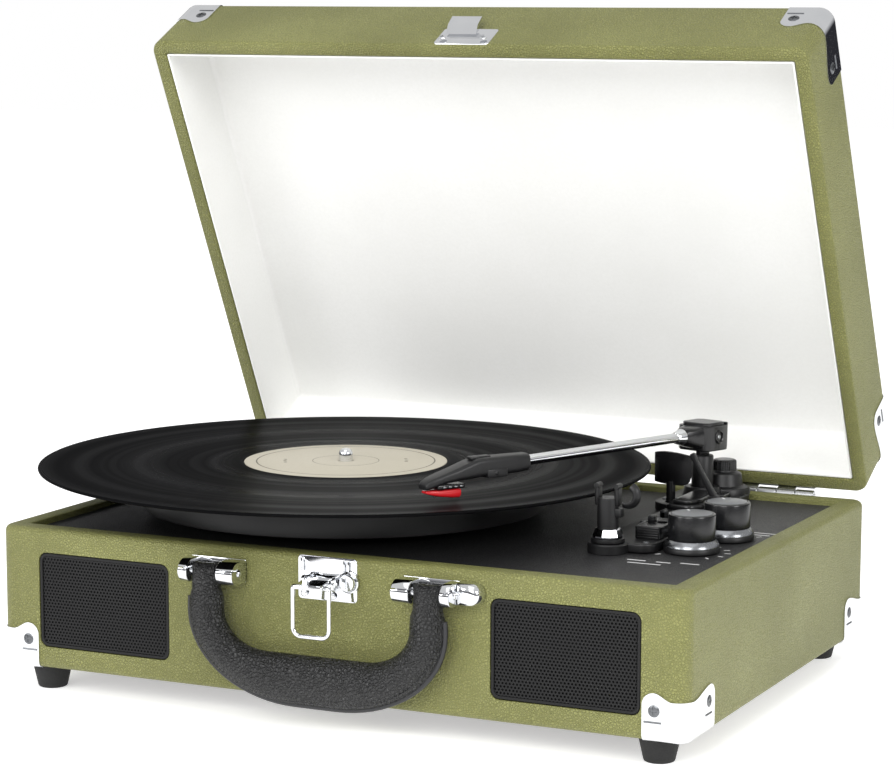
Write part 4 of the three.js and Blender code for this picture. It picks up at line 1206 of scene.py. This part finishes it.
@dataclass
class Latch:
    """Draw latch: plate with cheeks, folded lever with its wire bail, and the lock beside them."""

    x: float = 1.4
    back: float = -125.2
    pivot_y: float = -129.6
    pivot_z: float = 68.2
    lock_x: float = 13.0
    lock_z: float = 68.9

    def build(self) -> None:
        """Build the latch's four pieces."""
        self.plate()
        self.lever()
        self.bail()
        self.lock()

    def plate(self) -> None:
        """Build the plate with its rounded corners, raised ribs, cheeks, pin, lock ring and screws."""
        outline = softened([(-13.6, -10.1), (16.4, -10.1), (16.4, 10.1), (-13.6, 10.1)], 2.2)
        pieces = [standing(slab(outline, -0.9, 0, 0.3)).at(0, self.back, 69.3)]
        for x in (self.x - 12.6, self.x + 9.0, self.x + 11.2):
            pieces.append(bar((x - 0.4, x + 0.4), (self.back - 1.5, self.back - 0.8), (72, 78.6), 0.2))
        for x0 in (self.x - 9.6, self.x + 5.6):
            outline = softened([(-133, 64.8), (self.back, 64.8), (self.back, 71.6), (-133, 71.6)], 3.2, 6)
            pieces.append(sideways(slab(outline, x0, x0 + 1.6, 0.3)))
        pieces.append(rod((self.x - 9.9, self.pivot_y, self.pivot_z),
                          (self.x + 7.5, self.pivot_y, self.pivot_z), 1.1))
        pieces.append(standing(lathe([(3.9, 0), (4.9, 0), (4.9, 1.0), (4.4, 1.3), (3.9, 1.0)], 40, True))
                      .at(self.lock_x, self.back - 0.8, self.lock_z))
        pieces.append(cross_head(1.6, 0.5).turned(90, "X").at(self.x - 11.5, self.back - 0.85, 62))
        pieces.append(cross_head(1.6, 0.5).turned(90, "X").at(self.x + 3, self.back - 0.85, 61.6))
        made_piece("latch_back_plate", joined(pieces), CHROME, "case", ("latch_plate",))

    def lever(self) -> None:
        """Build the folded lever: barrel, curved blade and bright finger tab."""
        left, right = self.x - 7.6, self.x + 5.2
        upper = [(-128.6, 70.5), (-131.4, 70.9), (-135, 70.4), (-139, 69.6), (-141.6, 69.3)]
        lower = [(y, z - 2.2) for y, z in reversed(upper)]
        blade = sideways(slab((upper + lower), left, right, 0.3, 2))
        barrel = rod((left, self.pivot_y, self.pivot_z), (right, self.pivot_y, self.pivot_z), 2.4)
        tab = bar((-7, 8.1), (-143.1, -140.6), (67.3, 69.1), 0.5)
        made_piece("latch_draw_lever", joined([blade, barrel, tab]), CHROME, "latch_lever", ("latch_lever",))

    def bail(self) -> None:
        """Build the wire bail, bent from one length of wire."""
        left, right, y, top, low, bend = -8.6, 9.7, -139.4, 68.0, 45.2, 4.0
        path = [(-4.9, y, top), (left + 1.2, y, top)]
        path += [(x, y, z) for x, z in arc_points((left + 1.2, top - 1.2), 1.2, 90, 180, 4)]
        path += [(x, y, z) for x, z in arc_points((left + bend, low + bend), bend, 180, 270, 10)]
        path += [(x, y, z) for x, z in arc_points((right - bend, low + bend), bend, 270, 360, 10)]
        path += [(x, y, z) for x, z in arc_points((right - 1.2, top - 1.2), 1.2, 0, 90, 4)]
        path += [(5.3, y, top)]
        made_piece("latch_wire_bail", tube(path, 1.05, 16), CHROME, "latch_bail", ("latch_bail",), smooth=70)

    def lock(self) -> None:
        """Build the lock's face with its key slot."""
        face = lathe([(3.7, 0), (3.8, 1.8), (3.5, 2.3), (0, 2.5)], 40)
        face = carved(face, [bar((-0.45, 0.45), (-2.6, 2.6), (1.2, 4), 0)])
        face = face.turned(90, "X").at(self.lock_x, self.back - 1.7, self.lock_z)
        made_piece("lock_face", face, CHROME, "case", ("lock_cylinder",))


# ---------- drive ----------
@dataclass
class Drive:
    """Platter with its mat, the record with its label, and the spindle."""

    x: float = -51.0
    y: float = -6.9
    groove_mm: float = 0.9

    def build(self) -> None:
        """Build the pieces that turn together."""
        rim = [(3.8, 86.2), (63, 86.2), (63, 95.7), (97.5, 95.7), (97.5, 81.9), (97.9, 81.7), (99.5, 81.7),
               (100, 82.2), (100, 97.3), (99.6, 98.4), (98.6, 99), (3.8, 99)]
        self.turned_piece("platter_dish", rim, SATIN_ABS, "platter", 128)
        mat = [(3.8, 99.3), (95.6, 99.3), (96, 99.7), (96, 100.2), (95.6, 100.6)]
        for i in range(18):
            r = 92 - 4.6 * i
            mat += [(r, 100.6), (r - 0.5, 100.2), (r - 1.5, 100.2), (r - 2, 100.6)]
        mat += [(3.8, 100.6)]
        self.turned_piece("platter_rubber_mat", mat, MAT_RUBBER, "platter_mat", 96)
        self.record()
        label = [(3.8, 101.98), (50, 101.98), (50, 102.28), (49.7, 102.36), (3.8, 102.36)]
        self.turned_piece("record_paper_label", label, LABEL, "record_label", 128)
        rings = [lathe([(r, 102.37), (r + w, 102.37), (r + w, 102.39), (r, 102.39)], 128, True)
                 for r, w in ((43.6, 0.7), (16.2, 0.35))]
        turns = [math.radians(k) for k in (20, 28, 36, 200, 208, 216)]
        dot = lathe([(0.9, 102.37), (0.9, 102.39), (0, 102.39)], 12)
        dots = [dot.at(30 * math.cos(a), 30 * math.sin(a), 0) for a in turns]
        made_piece("label_print", joined(rings + dots).at(self.x, self.y, 0), LABEL_INK, "platter")
        dome = [(3.5, 62.2), (3.5, 105.2), (3.4, 106.2), (3.1, 107.1), (2.5, 107.9), (1.6, 108.4),
                (0.7, 108.58), (0, 108.6)]
        made_piece("spindle_pin", lathe(dome, 40).at(self.x, self.y, 0), CHROME, "platter", ("spindle",),
                   smooth=60)

    def turned_piece(self, name: str, profile: Corners, finish: Finish, node: str, sides: int) -> None:
        """Make a bored piece turned about the spindle."""
        made_piece(name, lathe(profile, sides, True).at(self.x, self.y, 0), finish, "platter", (node,),
                   smooth=25)

    def record(self) -> None:
        """Build the record: round bead, grooved band between raised bands, run-out and label seat."""
        profile = [(3.8, 100.8), (149.7, 100.8), (150.3, 101.1), (150.5, 101.55), (150.3, 102.0),
                   (149.7, 102.3), (147.2, 102.3), (146.3, 102.16), (62, 102.16), (58, 102.1), (51.6, 102.1),
                   (50.7, 102.28), (50.4, 102.2), (50.3, 101.95), (3.8, 101.95)]
        shape = lathe(profile, 192, True).at(self.x, self.y, 0)
        disc = made_piece("record_grooved_disc", shape, SATIN_ABS, "platter", ("record_disc",), smooth=25)
        disc.data.materials[0] = self.vinyl()

    def vinyl(self) -> bpy.types.Material:
        """Build pressed vinyl: deep black, with faint rings where the gloss changes from track to track.

        Real grooves are about 0.1 mm apart and are drawn 0.9 mm apart so that they show. The specular
        level is far below a real record's, so that the white lining doesn't turn the disc pale.

        Returns:
            The material.
        """
        material = bpy.data.materials.new("black record vinyl, pressed grooves")
        material.use_nodes = True
        tree = material.node_tree
        shader = tree.nodes["Principled BSDF"]
        shader.inputs["Base Color"].default_value = linear("#0d0d0e")
        shader.inputs["IOR"].default_value = 1.54
        shader.inputs["Specular IOR Level"].default_value = 0.003
        shader.inputs["Anisotropic"].default_value = 0.55
        place = add(tree, "ShaderNodeTexCoord").outputs["Object"]
        axis = TO_FRAME @ Vector((self.x, self.y, 0))
        off = add(tree, "ShaderNodeVectorMath", {0: place, 1: tuple(axis)}, operation="SUBTRACT")
        flat = add(tree, "ShaderNodeVectorMath", {0: off.outputs[0], 1: (1, 1, 0)}, operation="MULTIPLY")
        radius = add(tree, "ShaderNodeVectorMath", {0: flat.outputs[0]}, operation="LENGTH").outputs["Value"]
        wave = add(tree, "ShaderNodeMath", {0: radius, 1: 2 * math.pi / (self.groove_mm * MM)},
                   operation="MULTIPLY")
        groove = add(tree, "ShaderNodeMath", {0: wave.outputs[0]}, operation="SINE")
        tracks = add(tree, "ShaderNodeTexNoise", {"W": radius, "Scale": 55.0, "Detail": 5.0},
                     noise_dimensions="1D")
        band = add(tree, "ShaderNodeMapRange",
                   {0: tracks.outputs["Fac"], 1: 0.35, 2: 0.65, 3: 0.22, 4: 0.44})
        bump = add(tree, "ShaderNodeBump",
                   {"Strength": 0.35, "Distance": 0.02 * MM, "Height": groove.outputs[0]})
        around = add(tree, "ShaderNodeVectorMath", {0: flat.outputs[0], 1: (0, 0, 1)},
                     operation="CROSS_PRODUCT")
        unit = add(tree, "ShaderNodeVectorMath", {0: around.outputs[0]}, operation="NORMALIZE")
        tree.links.new(band.outputs[0], shader.inputs["Roughness"])
        tree.links.new(bump.outputs[0], shader.inputs["Normal"])
        tree.links.new(unit.outputs[0], shader.inputs["Tangent"])
        return material


# ---------- controls ----------
@dataclass
class Controls:
    """Knobs, switches, tonearm base, rest and cue, all on the right of the deck."""

    deck: float = 76.7
    top: float = 81.5
    rest: tuple[float, float] = (105.0, -46.0)
    pivot: tuple[float, float] = ARM_PIVOT
    turret: tuple[float, float] = (107.0, 104.0)
    lever: Point = (119.0, 59.0, 85.2)

    def build(self) -> None:
        """Build every control."""
        for name, x, y, *_ in KNOBS:
            self.knob(name, x, y)
        self.base()
        self.switches()
        self.rest_post()
        self.cue()

    def knob(self, name: str, x: float, y: float) -> None:
        """Build a knob: black skirt, metal bevel, straight body, grey cap and a pointer line.

        Args:
            name: The knob's node and body.
            x: Its place along X.
            y: Its place along Y.
        """
        low = self.deck + 0.3
        body = [(10.9, low + 5.9), (11, low + 6.4), (11, low + 16.9), (10.8, low + 17.5), (10.3, low + 17.8),
                (9.7, low + 17.9), (9.5, low + 17.6), (0, low + 17.6)]
        made_piece(f"{name}_body", lathe([(10.4, low + 5.7)] + body, 72).at(x, y, 0), GREY_ABS, name,
                   (name,))
        ring = [(12.8, low + 2.6), (12.75, low + 3.3), (11.1, low + 5.7), (10.6, low + 5.9), (10, low + 5.9)]
        made_piece(f"{name}_bevel", lathe(ring, 72).at(x, y, 0), SPUN, name)
        skirt = [(12.6, low), (13, low + 0.4), (13, low + 2.1), (12.7, low + 2.55), (9, low + 2.6)]
        made_piece(f"{name}_skirt", lathe(skirt, 72).at(x, y, 0), SATIN_ABS, name)
        cap = [(9.4, low + 17.5), (9.4, low + 17.9), (9.1, low + 18.0), (0, low + 17.95)]
        line = bar((-0.5, 0.5), (5.2, 9.0), (low + 17.9, low + 18.0), 0)
        made_piece(f"{name}_cap", lathe(cap, 72).at(x, y, 0), CAP_ABS, name)
        made_piece(f"{name}_pointer", line.turned(35, "Z").at(x, y, 0), WHITE_INK, name)

    def base(self) -> None:
        """Build the tonearm base: plate, collar, knurled turret, switch housing, cheeks and fairing."""
        outline = softened([(97, -41), (100, -45), (122, -45), (126, -41), (126, -14), (118.2, -8),
                            (118.2, 56), (120.4, 59), (120.4, 106), (113, 113.5), (91, 113.5), (84, 106),
                            (84, 65), (91, 57.6), (97, 55)], 4.0, 5)
        plate = slab(outline, self.deck + 0.3, self.top, 0.9, 3)
        lug = lathe([(9.5, self.deck + 0.3), (9.5, self.top - 0.7), (8.9, self.top - 0.1),
                     (0, self.top - 0.1)], 48)
        holes = [rod((*self.pivot, 70), (*self.pivot, 120), 6.0),
                 bar((104.6, 109.4), (16, 40), (self.top - 2.6, 90), 0.3),
                 rod((92.8, 65.7, 70), (92.8, 65.7, 90), 2.9),
                 rod((*self.rest, self.top - 3), (*self.rest, 90), 5.0)]
        body = carved(plate, [lug.at(*self.rest, 0)], join=True)
        collar = lathe([(10, self.top - 0.6), (9.9, self.top + 0.8), (9.0, self.top + 4.4),
                        (8.6, self.top + 5), (5, self.top + 5)], 56)
        body = carved(body, [collar.at(*self.pivot, 0)], join=True)
        turret = [(13, self.top - 0.8), (12.9, self.top + 1.8), (12.2, self.top + 3.1), (9.7, self.top + 4),
                  (9.2, self.top + 5), (8.7, self.top + 9.2), (8.2, self.top + 10.1), (6.2, self.top + 11),
                  (6, self.top + 11.6)]
        body = joined([carved(body, holes), lathe(turret, 56).at(*self.turret, 0)])
        made_piece("arm_base_plate", body, SATIN_ABS, "case", ("arm_base",), smooth=32)
        knurl = []
        for rise, radius in ((11.3, 5.7), (11.6, 5.9), (16.0, 5.8), (16.7, 5.2), (17, 4.2)):
            teeth = [radius * (1 + 0.04 * (k % 2)) for k in range(72)]
            knurl.append([(r * math.cos(math.pi * k / 36), r * math.sin(math.pi * k / 36), self.top + rise)
                          for k, r in enumerate(teeth)])
        made_piece("turret_cap", loft(knurl).at(*self.turret, 0), GREY_ABS, "case", smooth=12)
        rim = slab(rounded(13, 25, 2, 5), self.top - 0.4, self.top + 6, 0.8)
        rim = carved(rim.at(119, -20, 0), [bar((114, 124), (-23, -17), (self.top + 3.4, self.top + 9), 0.2)])
        ribs = [bar((113.6, 124.4), (-32.75, -32.2), (self.top + 0.6 + 1.1 * k, self.top + 1.1 + 1.1 * k),
                    0.1) for k in range(5)]
        made_piece("switch_housing", joined([rim, *ribs]), GLOSS_ABS, "case")
        low = self.top - 0.5
        cheeks = []
        for y in (self.lever[1] - 2.7, self.lever[1] + 2.7):
            outline = softened([(y - 0.9, low), (y + 0.9, low), (y + 0.9, 87.4), (y - 0.9, 87.4)], 0.3)
            cheeks.append(sideways(slab(outline, 116, 122, 0.4)))
        made_piece("cue_cheeks", joined(cheeks), SATIN_ABS, "case")
        fairing = softened([(98.4, 44), (111, 44), (115.6, 51), (115.6, 92), (98, 92), (96.6, 74),
                            (96.6, 58)], 3, 4)
        ridge = softened([(100.6, 47), (109.6, 47), (112.6, 53), (112.6, 80), (100.4, 80)], 2, 3)
        bosses = [cross_head(1.7, 0.6).at(x, y, self.top) for x, y in ((101, 8), (121.6, -40.5), (87.5, 72))]
        made_piece("base_fairing",
                   joined([slab(fairing, self.top - 0.2, self.top + 2.6, 1.0, 3),
                           slab(ridge, self.top + 2.4, self.top + 4.6, 0.9, 3)]), GLOSS_ABS, "case",
                   smooth=30)
        made_piece("base_screws", joined(bosses), SCREW, "case")

    def switches(self) -> None:
        """Build the speed selector and the automatic stop switch."""
        slide = bar((104.9, 109.1), (16.3, 24), (self.top - 2.3, self.top + 0.5), 0.3)
        ribs = [bar((105.4, 108.6), (18.4 + 0.9 * k, 18.9 + 0.9 * k), (self.top + 0.4, self.top + 4), 0.2)
                for k in range(4)]
        core = bar((105.6, 108.4), (18.4, 21.6), (self.top + 0.4, self.top + 3.5), 0.3)
        made_piece("speed_slide", joined([slide, core, *ribs]), GREY_ABS, "speed_selector",
                   ("speed_selector",))
        slide = bar((114.3, 119), (-22.7, -17.3), (self.top + 3.7, self.top + 5.9), 0.3)
        grip = [bar((115 + 0.9 * k, 115.5 + 0.9 * k), (-22, -18), (self.top + 5.8, self.top + 8.9), 0.2)
                for k in range(4)]
        core = bar((115.1, 118.1), (-21.8, -18.2), (self.top + 5.8, self.top + 8.5), 0.3)
        made_piece("stop_slide", joined([slide, core, *grip]), GREY_ABS, "auto_stop_switch",
                   ("auto_stop_switch",))

    def rest_post(self) -> None:
        """Build the rest: moulded post with a chrome collar, forked top and locking clip."""
        low = self.top + 0.3
        stem = lathe([(4.7, low - 2.4), (4.7, low), (7.9, low), (8, low + 0.5), (7.8, low + 1.7),
                      (6.2, low + 2.2), (5.2, low + 2.6), (5, low + 6.6), (5, 101.2), (4.8, 102.2),
                      (0, 102.4)], 48)
        prongs = [bar((s * 4.8 - 1.1, s * 4.8 + 1.1), (-2.6, 2.6), (98.5, 108.6), 0.7) for s in (-1, 1)]
        tips = [rod((s * 4.9, -2.6, 107.6), (s * 4.9, 2.6, 107.6), 1.35, sides=20) for s in (-1, 1)]
        lug = bar((3.6, 7.3), (-2.4, 2.4), (93.5, 97.6), 0.5)
        made_piece("rest_post_body", joined([stem, *prongs, *tips, lug]).at(*self.rest, 0), SATIN_ABS,
                   "case", ("arm_rest_post",))
        collar = lathe([(7.3, low + 2.3), (7.2, low + 2.9), (5.9, low + 6), (5.1, low + 6.3)], 12)
        made_piece("rest_collar", collar.at(*self.rest, 0), CHROME, "case", smooth=12)
        path = [(9.2 + 4.9 * math.cos(a), 0, 103.8 + 4.9 * math.sin(a)) for a in
                (math.radians(-112 + 176 * i / 16) for i in range(17))]
        clip = tube(path, 1.0, 12, 2.0)
        made_piece("rest_locking_clip", clip.at(*self.rest, 0), SATIN_ABS, "rest_clip", ("arm_rest_clip",),
                   smooth=60)

    def cue(self) -> None:
        """Build the cue lifter, a curved dark plate under the arm, and its lever."""
        radius, steps = 25.0, 20
        rings = []
        for i in range(steps + 1):
            t = i / steps
            a = math.radians(-90 - 46 + 54 * t)
            low = 90.2 + (5.0 * (1 - math.sqrt(max(1 - ((t - 0.8) / 0.2) ** 2, 0))) if t > 0.8 else 0)
            high = 106.5 - 1.5 * (2 * t - 1) ** 2
            section = ((-0.95, low), (0.95, low), (0.95, high - 0.3), (0.6, high), (-0.6, high),
                       (-0.95, high - 0.3))
            rings.append([((radius + g) * math.cos(a), (radius + g) * math.sin(a), z) for g, z in section])
        stem_a = math.radians(-108)
        stem = lathe([(2.3, 79.0), (2.3, 92)], 24)
        stem = stem.at(radius * math.cos(stem_a), radius * math.sin(stem_a), 0)
        made_piece("cue_lift_plate", joined([loft(rings), stem]).at(*self.pivot, 0), GLOSS_ABS, "cue_lifter",
                   ("cue_lifter",))
        sections = ((-1, 3.4, 2.8), (3, 3.2, 2.8), (14, 2.4, 2.4), (22, 2.3, 2.3), (23.6, 3.0, 2.6),
                    (25.2, 3.0, 2.6), (25.8, 1.6, 1.4))
        lever = loft([[(x, y, z) for x, y in rounded(w, d, 0.5, 3)] for z, w, d in sections])
        hub = rod((0, -1.5, 0), (0, 1.5, 0), 2.5)
        place = Matrix.Translation(self.lever) @ Matrix.Rotation(math.radians(-30), 4, "Y")
        made_piece("cue_lever_arm", joined([lever, hub]), SATIN_ABS, "cue_lever", ("cue_lever",), place)


# ---------- tonearm ----------
@dataclass
class Tonearm:
    """The tonearm: yoke that swings, and the housing, tube and head that also lift."""

    angle: float = -15.0
    lift: float = 1.56
    pivot_z: float = 111.7
    tube_z: float = 112.7
    tube_end: float = 147.0
    head_angle: float = 18.0

    def swing(self) -> Matrix:
        """Return the place of the swinging pieces."""
        return Matrix.Translation((*ARM_PIVOT, 0)) @ Matrix.Rotation(math.radians(self.angle), 4, "Z")

    def lifted(self) -> Matrix:
        """Work out the place of the pieces that tilt with the tube.

        Returns:
            The place.
        """
        tilt = Matrix.Rotation(math.radians(-self.lift), 4, "X")
        to_pivot = Matrix.Translation((0, 0, self.pivot_z))
        return self.swing() @ to_pivot @ tilt @ Matrix.Translation((0, 0, -self.pivot_z))

    def head(self) -> Matrix:
        """Work out the place of the head's pieces, drawn level about the end of the tube.

        Returns:
            The place.
        """
        turn = Matrix.Rotation(math.radians(-self.head_angle), 4, "Z")
        level = Matrix.Rotation(math.radians(self.lift), 4, "X")
        return self.lifted() @ Matrix.Translation((0, -self.tube_end, self.tube_z)) @ (turn @ level)

    def build(self) -> None:
        """Build the arm from its yoke to the needle."""
        post = lathe([(5.3, 77.2), (5.5, 77.6), (5.5, 101.6), (5.1, 102.2), (3, 102.4)], 40)
        tongue = bar((-1.5, 1.5), (-4, 4), (101, self.pivot_z + 2.3), 0.4)
        made_piece("arm_pivot_post", joined([post, tongue]), SATIN_ABS, "arm_yoke", ("arm_yoke",),
                   self.swing())
        self.housing()
        made_piece("arm_chrome_tube",
                   rod((0, -9, self.tube_z), (0, -self.tube_end, self.tube_z), 2.45, sides=40), CHROME,
                   "tonearm", ("arm_tube",), self.lifted())
        self.shell()

    def housing(self) -> None:
        """Build the faceted housing: nose, chamfered block, stepped top, rear plate and pivot screw."""
        middle = 111.9
        sections = ((-19.5, 6.4, 6.4, 3.0, self.tube_z), (-17.5, 8.6, 8.6, 3.4, self.tube_z),
                    (-13.5, 12.5, 10.0, 3.0, 112.2), (-9.2, 15.0, 11.4, 2.6, middle),
                    (-6.6, 15.0, 11.4, 2.2, middle))
        nose = loft([[(x, y, z + mid) for x, z in rounded(w, h, r, 3)] for y, w, h, r, mid in sections])
        octagon = [(7.0, -9.9), (9.8, -7.1), (9.8, 7.1), (7.0, 9.9), (-7.0, 9.9), (-9.8, 7.1), (-9.8, -7.1),
                   (-7.0, -9.9)]
        block = carved(slab(softened(octagon, 0.25, 1), 105.2, 117.6, 0.5, 1), [nose], join=True)
        slot = bar((-2.0, 2.0), (-6.4, 6.4), (100, self.pivot_z + 3.4), 0)
        block = carved(block, [slot])
        step = [(x * 0.84, y * 0.84) for x, y in octagon]
        top = slab(softened(step, 0.2, 1), 117.0, 119.2, 0.45, 1)
        rear = bar((-7.4, 7.4), (9.4, 11.2), (105.6, 118.6), 0.5)
        cone = rod((0, -24, self.tube_z), (0, -18.6, self.tube_z), 2.9, 4.1)
        screw = cross_head(1.2, 0.5).turned(90, "Y").at(9.8, 0, self.pivot_z + 0.4)
        ring = lathe([(2.5, 0), (3.4, 0), (3.4, 0.4), (2.9, 0.7), (2.5, 0.4)], 32, True)
        ring = ring.turned(90, "Y").at(9.75, 0, self.pivot_z + 0.4)
        made_piece("arm_housing_block", joined([block, top, rear, ring]), GLOSS_ABS, "tonearm",
                   ("arm_housing",), self.lifted(), 25)
        made_piece("arm_pivot_screw", screw, NICKEL, "tonearm", place=self.lifted())
        made_piece("arm_tube_socket", cone, CHROME, "tonearm", place=self.lifted())

    def shell(self) -> None:
        """Build the head: moulded shell with a hooked nose, cartridge, red stylus and needle."""
        sections = ((4.5, 7.4, -3.6, 3.4), (3.6, 8.4, -4.2, 3.9), (-3, 9.6, -4.6, 3.9), (-18, 11, -4.7, 3.9),
                    (-24, 11, -5.0, 3.7), (-28.5, 10.8, -5.4, 2.3), (-35, 10.4, -5.9, 0.2),
                    (-42, 9.8, -6.4, -1.9), (-47.4, 8.8, -8.0, -3.6), (-50.4, 7.6, -8.8, -5.0),
                    (-51.5, 6.4, -8.6, -6.4))
        rings = [[(x, y, z + (low + high) / 2) for x,
                  z in rounded(w, high - low, min(2.2, (high - low) / 3), 4)] for y, w, low,
                 high in sections]
        clip = bar((-5.7, 5.7), (-20, -9), (-5.4, -1.6), 0.4)
        ridge = bar((-2.2, 2.2), (-27, -16), (3.2, 4.5), 0.5)
        screw = cross_head(1.1, 0.4).turned(90, "Y").at(5.7, -15, -3.4)
        made_piece("headshell_moulding", joined([loft(rings), clip, ridge, screw]), SATIN_ABS,
                   "tonearm", ("headshell",), self.head(), 40)
        made_piece("cartridge_body", bar((-4.2, 4.2), (-45.8, -31.2), (-8.9, -6.9), 0.4), GLOSS_ABS,
                   "tonearm", ("cartridge",), self.head())
        made_piece("cartridge_terminals",
                   joined([bar((4.0, 4.5), (-43 + 3 * k, -41.5 + 3 * k), (-8.2, -7.6), 0.1)
                           for k in range(4)]), NICKEL, "tonearm", place=self.head())
        sections = ((-32.8, 6.2, -12.7, -9.4), (-33.6, 7, -13.3, -9.2), (-37, 7, -13.2, -9.2),
                    (-43, 6.8, -12.4, -9.2), (-47, 6.2, -11.6, -9.2), (-50, 4.8, -10.7, -9.2),
                    (-50.8, 3.6, -10.3, -9.3))
        rings = [[(x, y, z + (low + high) / 2) for x,
                  z in rounded(w, high - low, min(1.0, (high - low) / 3), 3)] for y, w, low,
                 high in sections]
        made_piece("stylus_clip", loft(rings), RED, "tonearm", ("stylus",), self.head(), 40)
        needle = rod((0, -45, -11.6), (0, -45.6, -13.3), 0.5, 0.12, 12)
        made_piece("stylus_needle", needle, NICKEL, "tonearm", place=self.head())


# ---------- studio ----------
@dataclass
class Studio:
    """The plain pale floor, the soft lights and the camera.

    The camera's heading, dip and roll are in degrees, its eye in metres.
    """

    eye: Point = (0.59841, -1.2281, 0.32554)
    heading: float = 25.12
    dip: float = 8.82
    roll: float = 0.2
    lens_mm: float = 113.3
    shift: tuple[float, float] = (-0.0234, 0.0604)
    floor_glow: float = 0.46
    floor_reach: float = 6.0

    def build(self) -> None:
        """Set the floor, lights and camera."""
        self.floor()
        bpy.context.scene.view_settings.view_transform = "Standard"
        self.light("top softbox", (0.1, -0.5, 1.8), (0, 0, 0), 1.4, 5)
        self.light("front softbox", (0.2, -2.6, 1.5), (0, 0, 0.15), 1.6, 42)
        self.light("front left softbox", (-1.5, -1.9, 0.9), (0, 0, 0.1), 0.9, 13)
        self.light("right strip", (1.8, -0.7, 0.9), (0, 0, 0.1), 0.7, 15)
        self.surroundings()
        self.camera()

    def surroundings(self) -> None:
        """Surround the player with white for the camera, and with walls, darker low down, for all else."""
        world = bpy.data.worlds.new("white studio")
        bpy.context.scene.world = world
        world.use_nodes = True
        tree = world.node_tree
        tree.nodes.clear()
        way = add(tree, "ShaderNodeTexCoord").outputs["Generated"]
        rise = add(tree, "ShaderNodeSeparateXYZ", {0: way}).outputs["Z"]
        walls = add(tree, "ShaderNodeValToRGB", {0: rise})
        ramp = walls.color_ramp
        ramp.elements[0].position = 0.05
        ramp.elements[0].color = (0.03, 0.03, 0.035, 1)
        ramp.elements[1].position = 0.30
        ramp.elements[1].color = (0.72, 0.72, 0.72, 1)
        middle = ramp.elements.new(0.16)
        middle.color = (0.40, 0.40, 0.41, 1)
        seen = add(tree, "ShaderNodeLightPath").outputs["Is Camera Ray"]
        colour = add(tree, "ShaderNodeMix", {0: seen, 6: walls.outputs[0], 7: (1.0, 1.0, 1.0, 1)},
                     data_type="RGBA")
        back = add(tree, "ShaderNodeBackground", {0: colour.outputs[2], 1: 1.0})
        add(tree, "ShaderNodeOutputWorld", {0: back.outputs[0]})

    def floor(self) -> None:
        """Lay the floor as one large pale sheet."""
        material = bpy.data.materials.new("white studio paper")
        material.use_nodes = True
        shader = material.node_tree.nodes["Principled BSDF"]
        shader.inputs["Base Color"].default_value = linear("#fbfbfb")
        shader.inputs["Roughness"].default_value = 0.7
        shader.inputs["Emission Color"].default_value = linear("#ffffff")
        shader.inputs["Emission Strength"].default_value = self.floor_glow
        mesh = bpy.data.meshes.new("floor")
        r = self.floor_reach
        mesh.from_pydata([(-r, -r, 0), (r, -r, 0), (r, r, 0), (-r, r, 0)], [], [(0, 1, 2, 3)])
        mesh.materials.append(material)
        sheet = bpy.data.objects.new("floor", mesh)
        bpy.context.scene.collection.objects.link(sheet)

    def light(self, name: str, spot: Point, target: Point, size: float, power: float) -> None:
        """Hang a square softbox that faces a target.

        Args:
            name: The lamp's name.
            spot: Where it hangs, in metres.
            target: What it faces, in metres.
            size: Length of its side, in metres.
            power: Its power in watts.
        """
        lamp = bpy.data.lights.new(name, "AREA")
        lamp.energy = power
        lamp.size = size
        holder = bpy.data.objects.new(name, lamp)
        holder.location = spot
        holder.rotation_euler = (Vector(target) - Vector(spot)).to_track_quat("-Z", "Y").to_euler()
        bpy.context.scene.collection.objects.link(holder)

    def camera(self) -> None:
        """Place the camera in front and to the right of the case, a little above it."""
        lens = bpy.data.cameras.new("camera")
        lens.sensor_width = 36
        lens.lens = self.lens_mm
        lens.shift_x, lens.shift_y = self.shift
        eye = bpy.data.objects.new("camera", lens)
        place = Matrix.Translation(self.eye)
        for degrees, axis in ((self.heading, "Z"), (90 - self.dip, "X"), (self.roll, "Z")):
            place = place @ Matrix.Rotation(math.radians(degrees), 4, axis)
        eye.matrix_world = place
        bpy.context.scene.collection.objects.link(eye)
        bpy.context.scene.camera = eye


def open_lid() -> Matrix:
    """Return the turn of the lid about its hinge, from closed to its open place."""
    pivot = Vector((0, HINGE_Y, HINGE_Z))
    turn = Matrix.Rotation(math.radians(-LID_TURN), 4, "X")
    return Matrix.Translation(pivot) @ turn @ Matrix.Translation(-pivot)


def main() -> None:
    """Build the player and the studio."""
    logging.basicConfig(level=logging.INFO, format="%(message)s")
    Studio().build()
    box = Box()
    place = open_lid()
    for assembly in (Base(box), Lid(box, place), Handle(), Latch(), Drive(), Controls(), Tonearm()):
        assembly.build()
        LOG.info("built %s", type(assembly).__name__)
    Guards(box).build(place)
    bpy.context.view_layer.update()


if __name__ == "__main__":
    main()
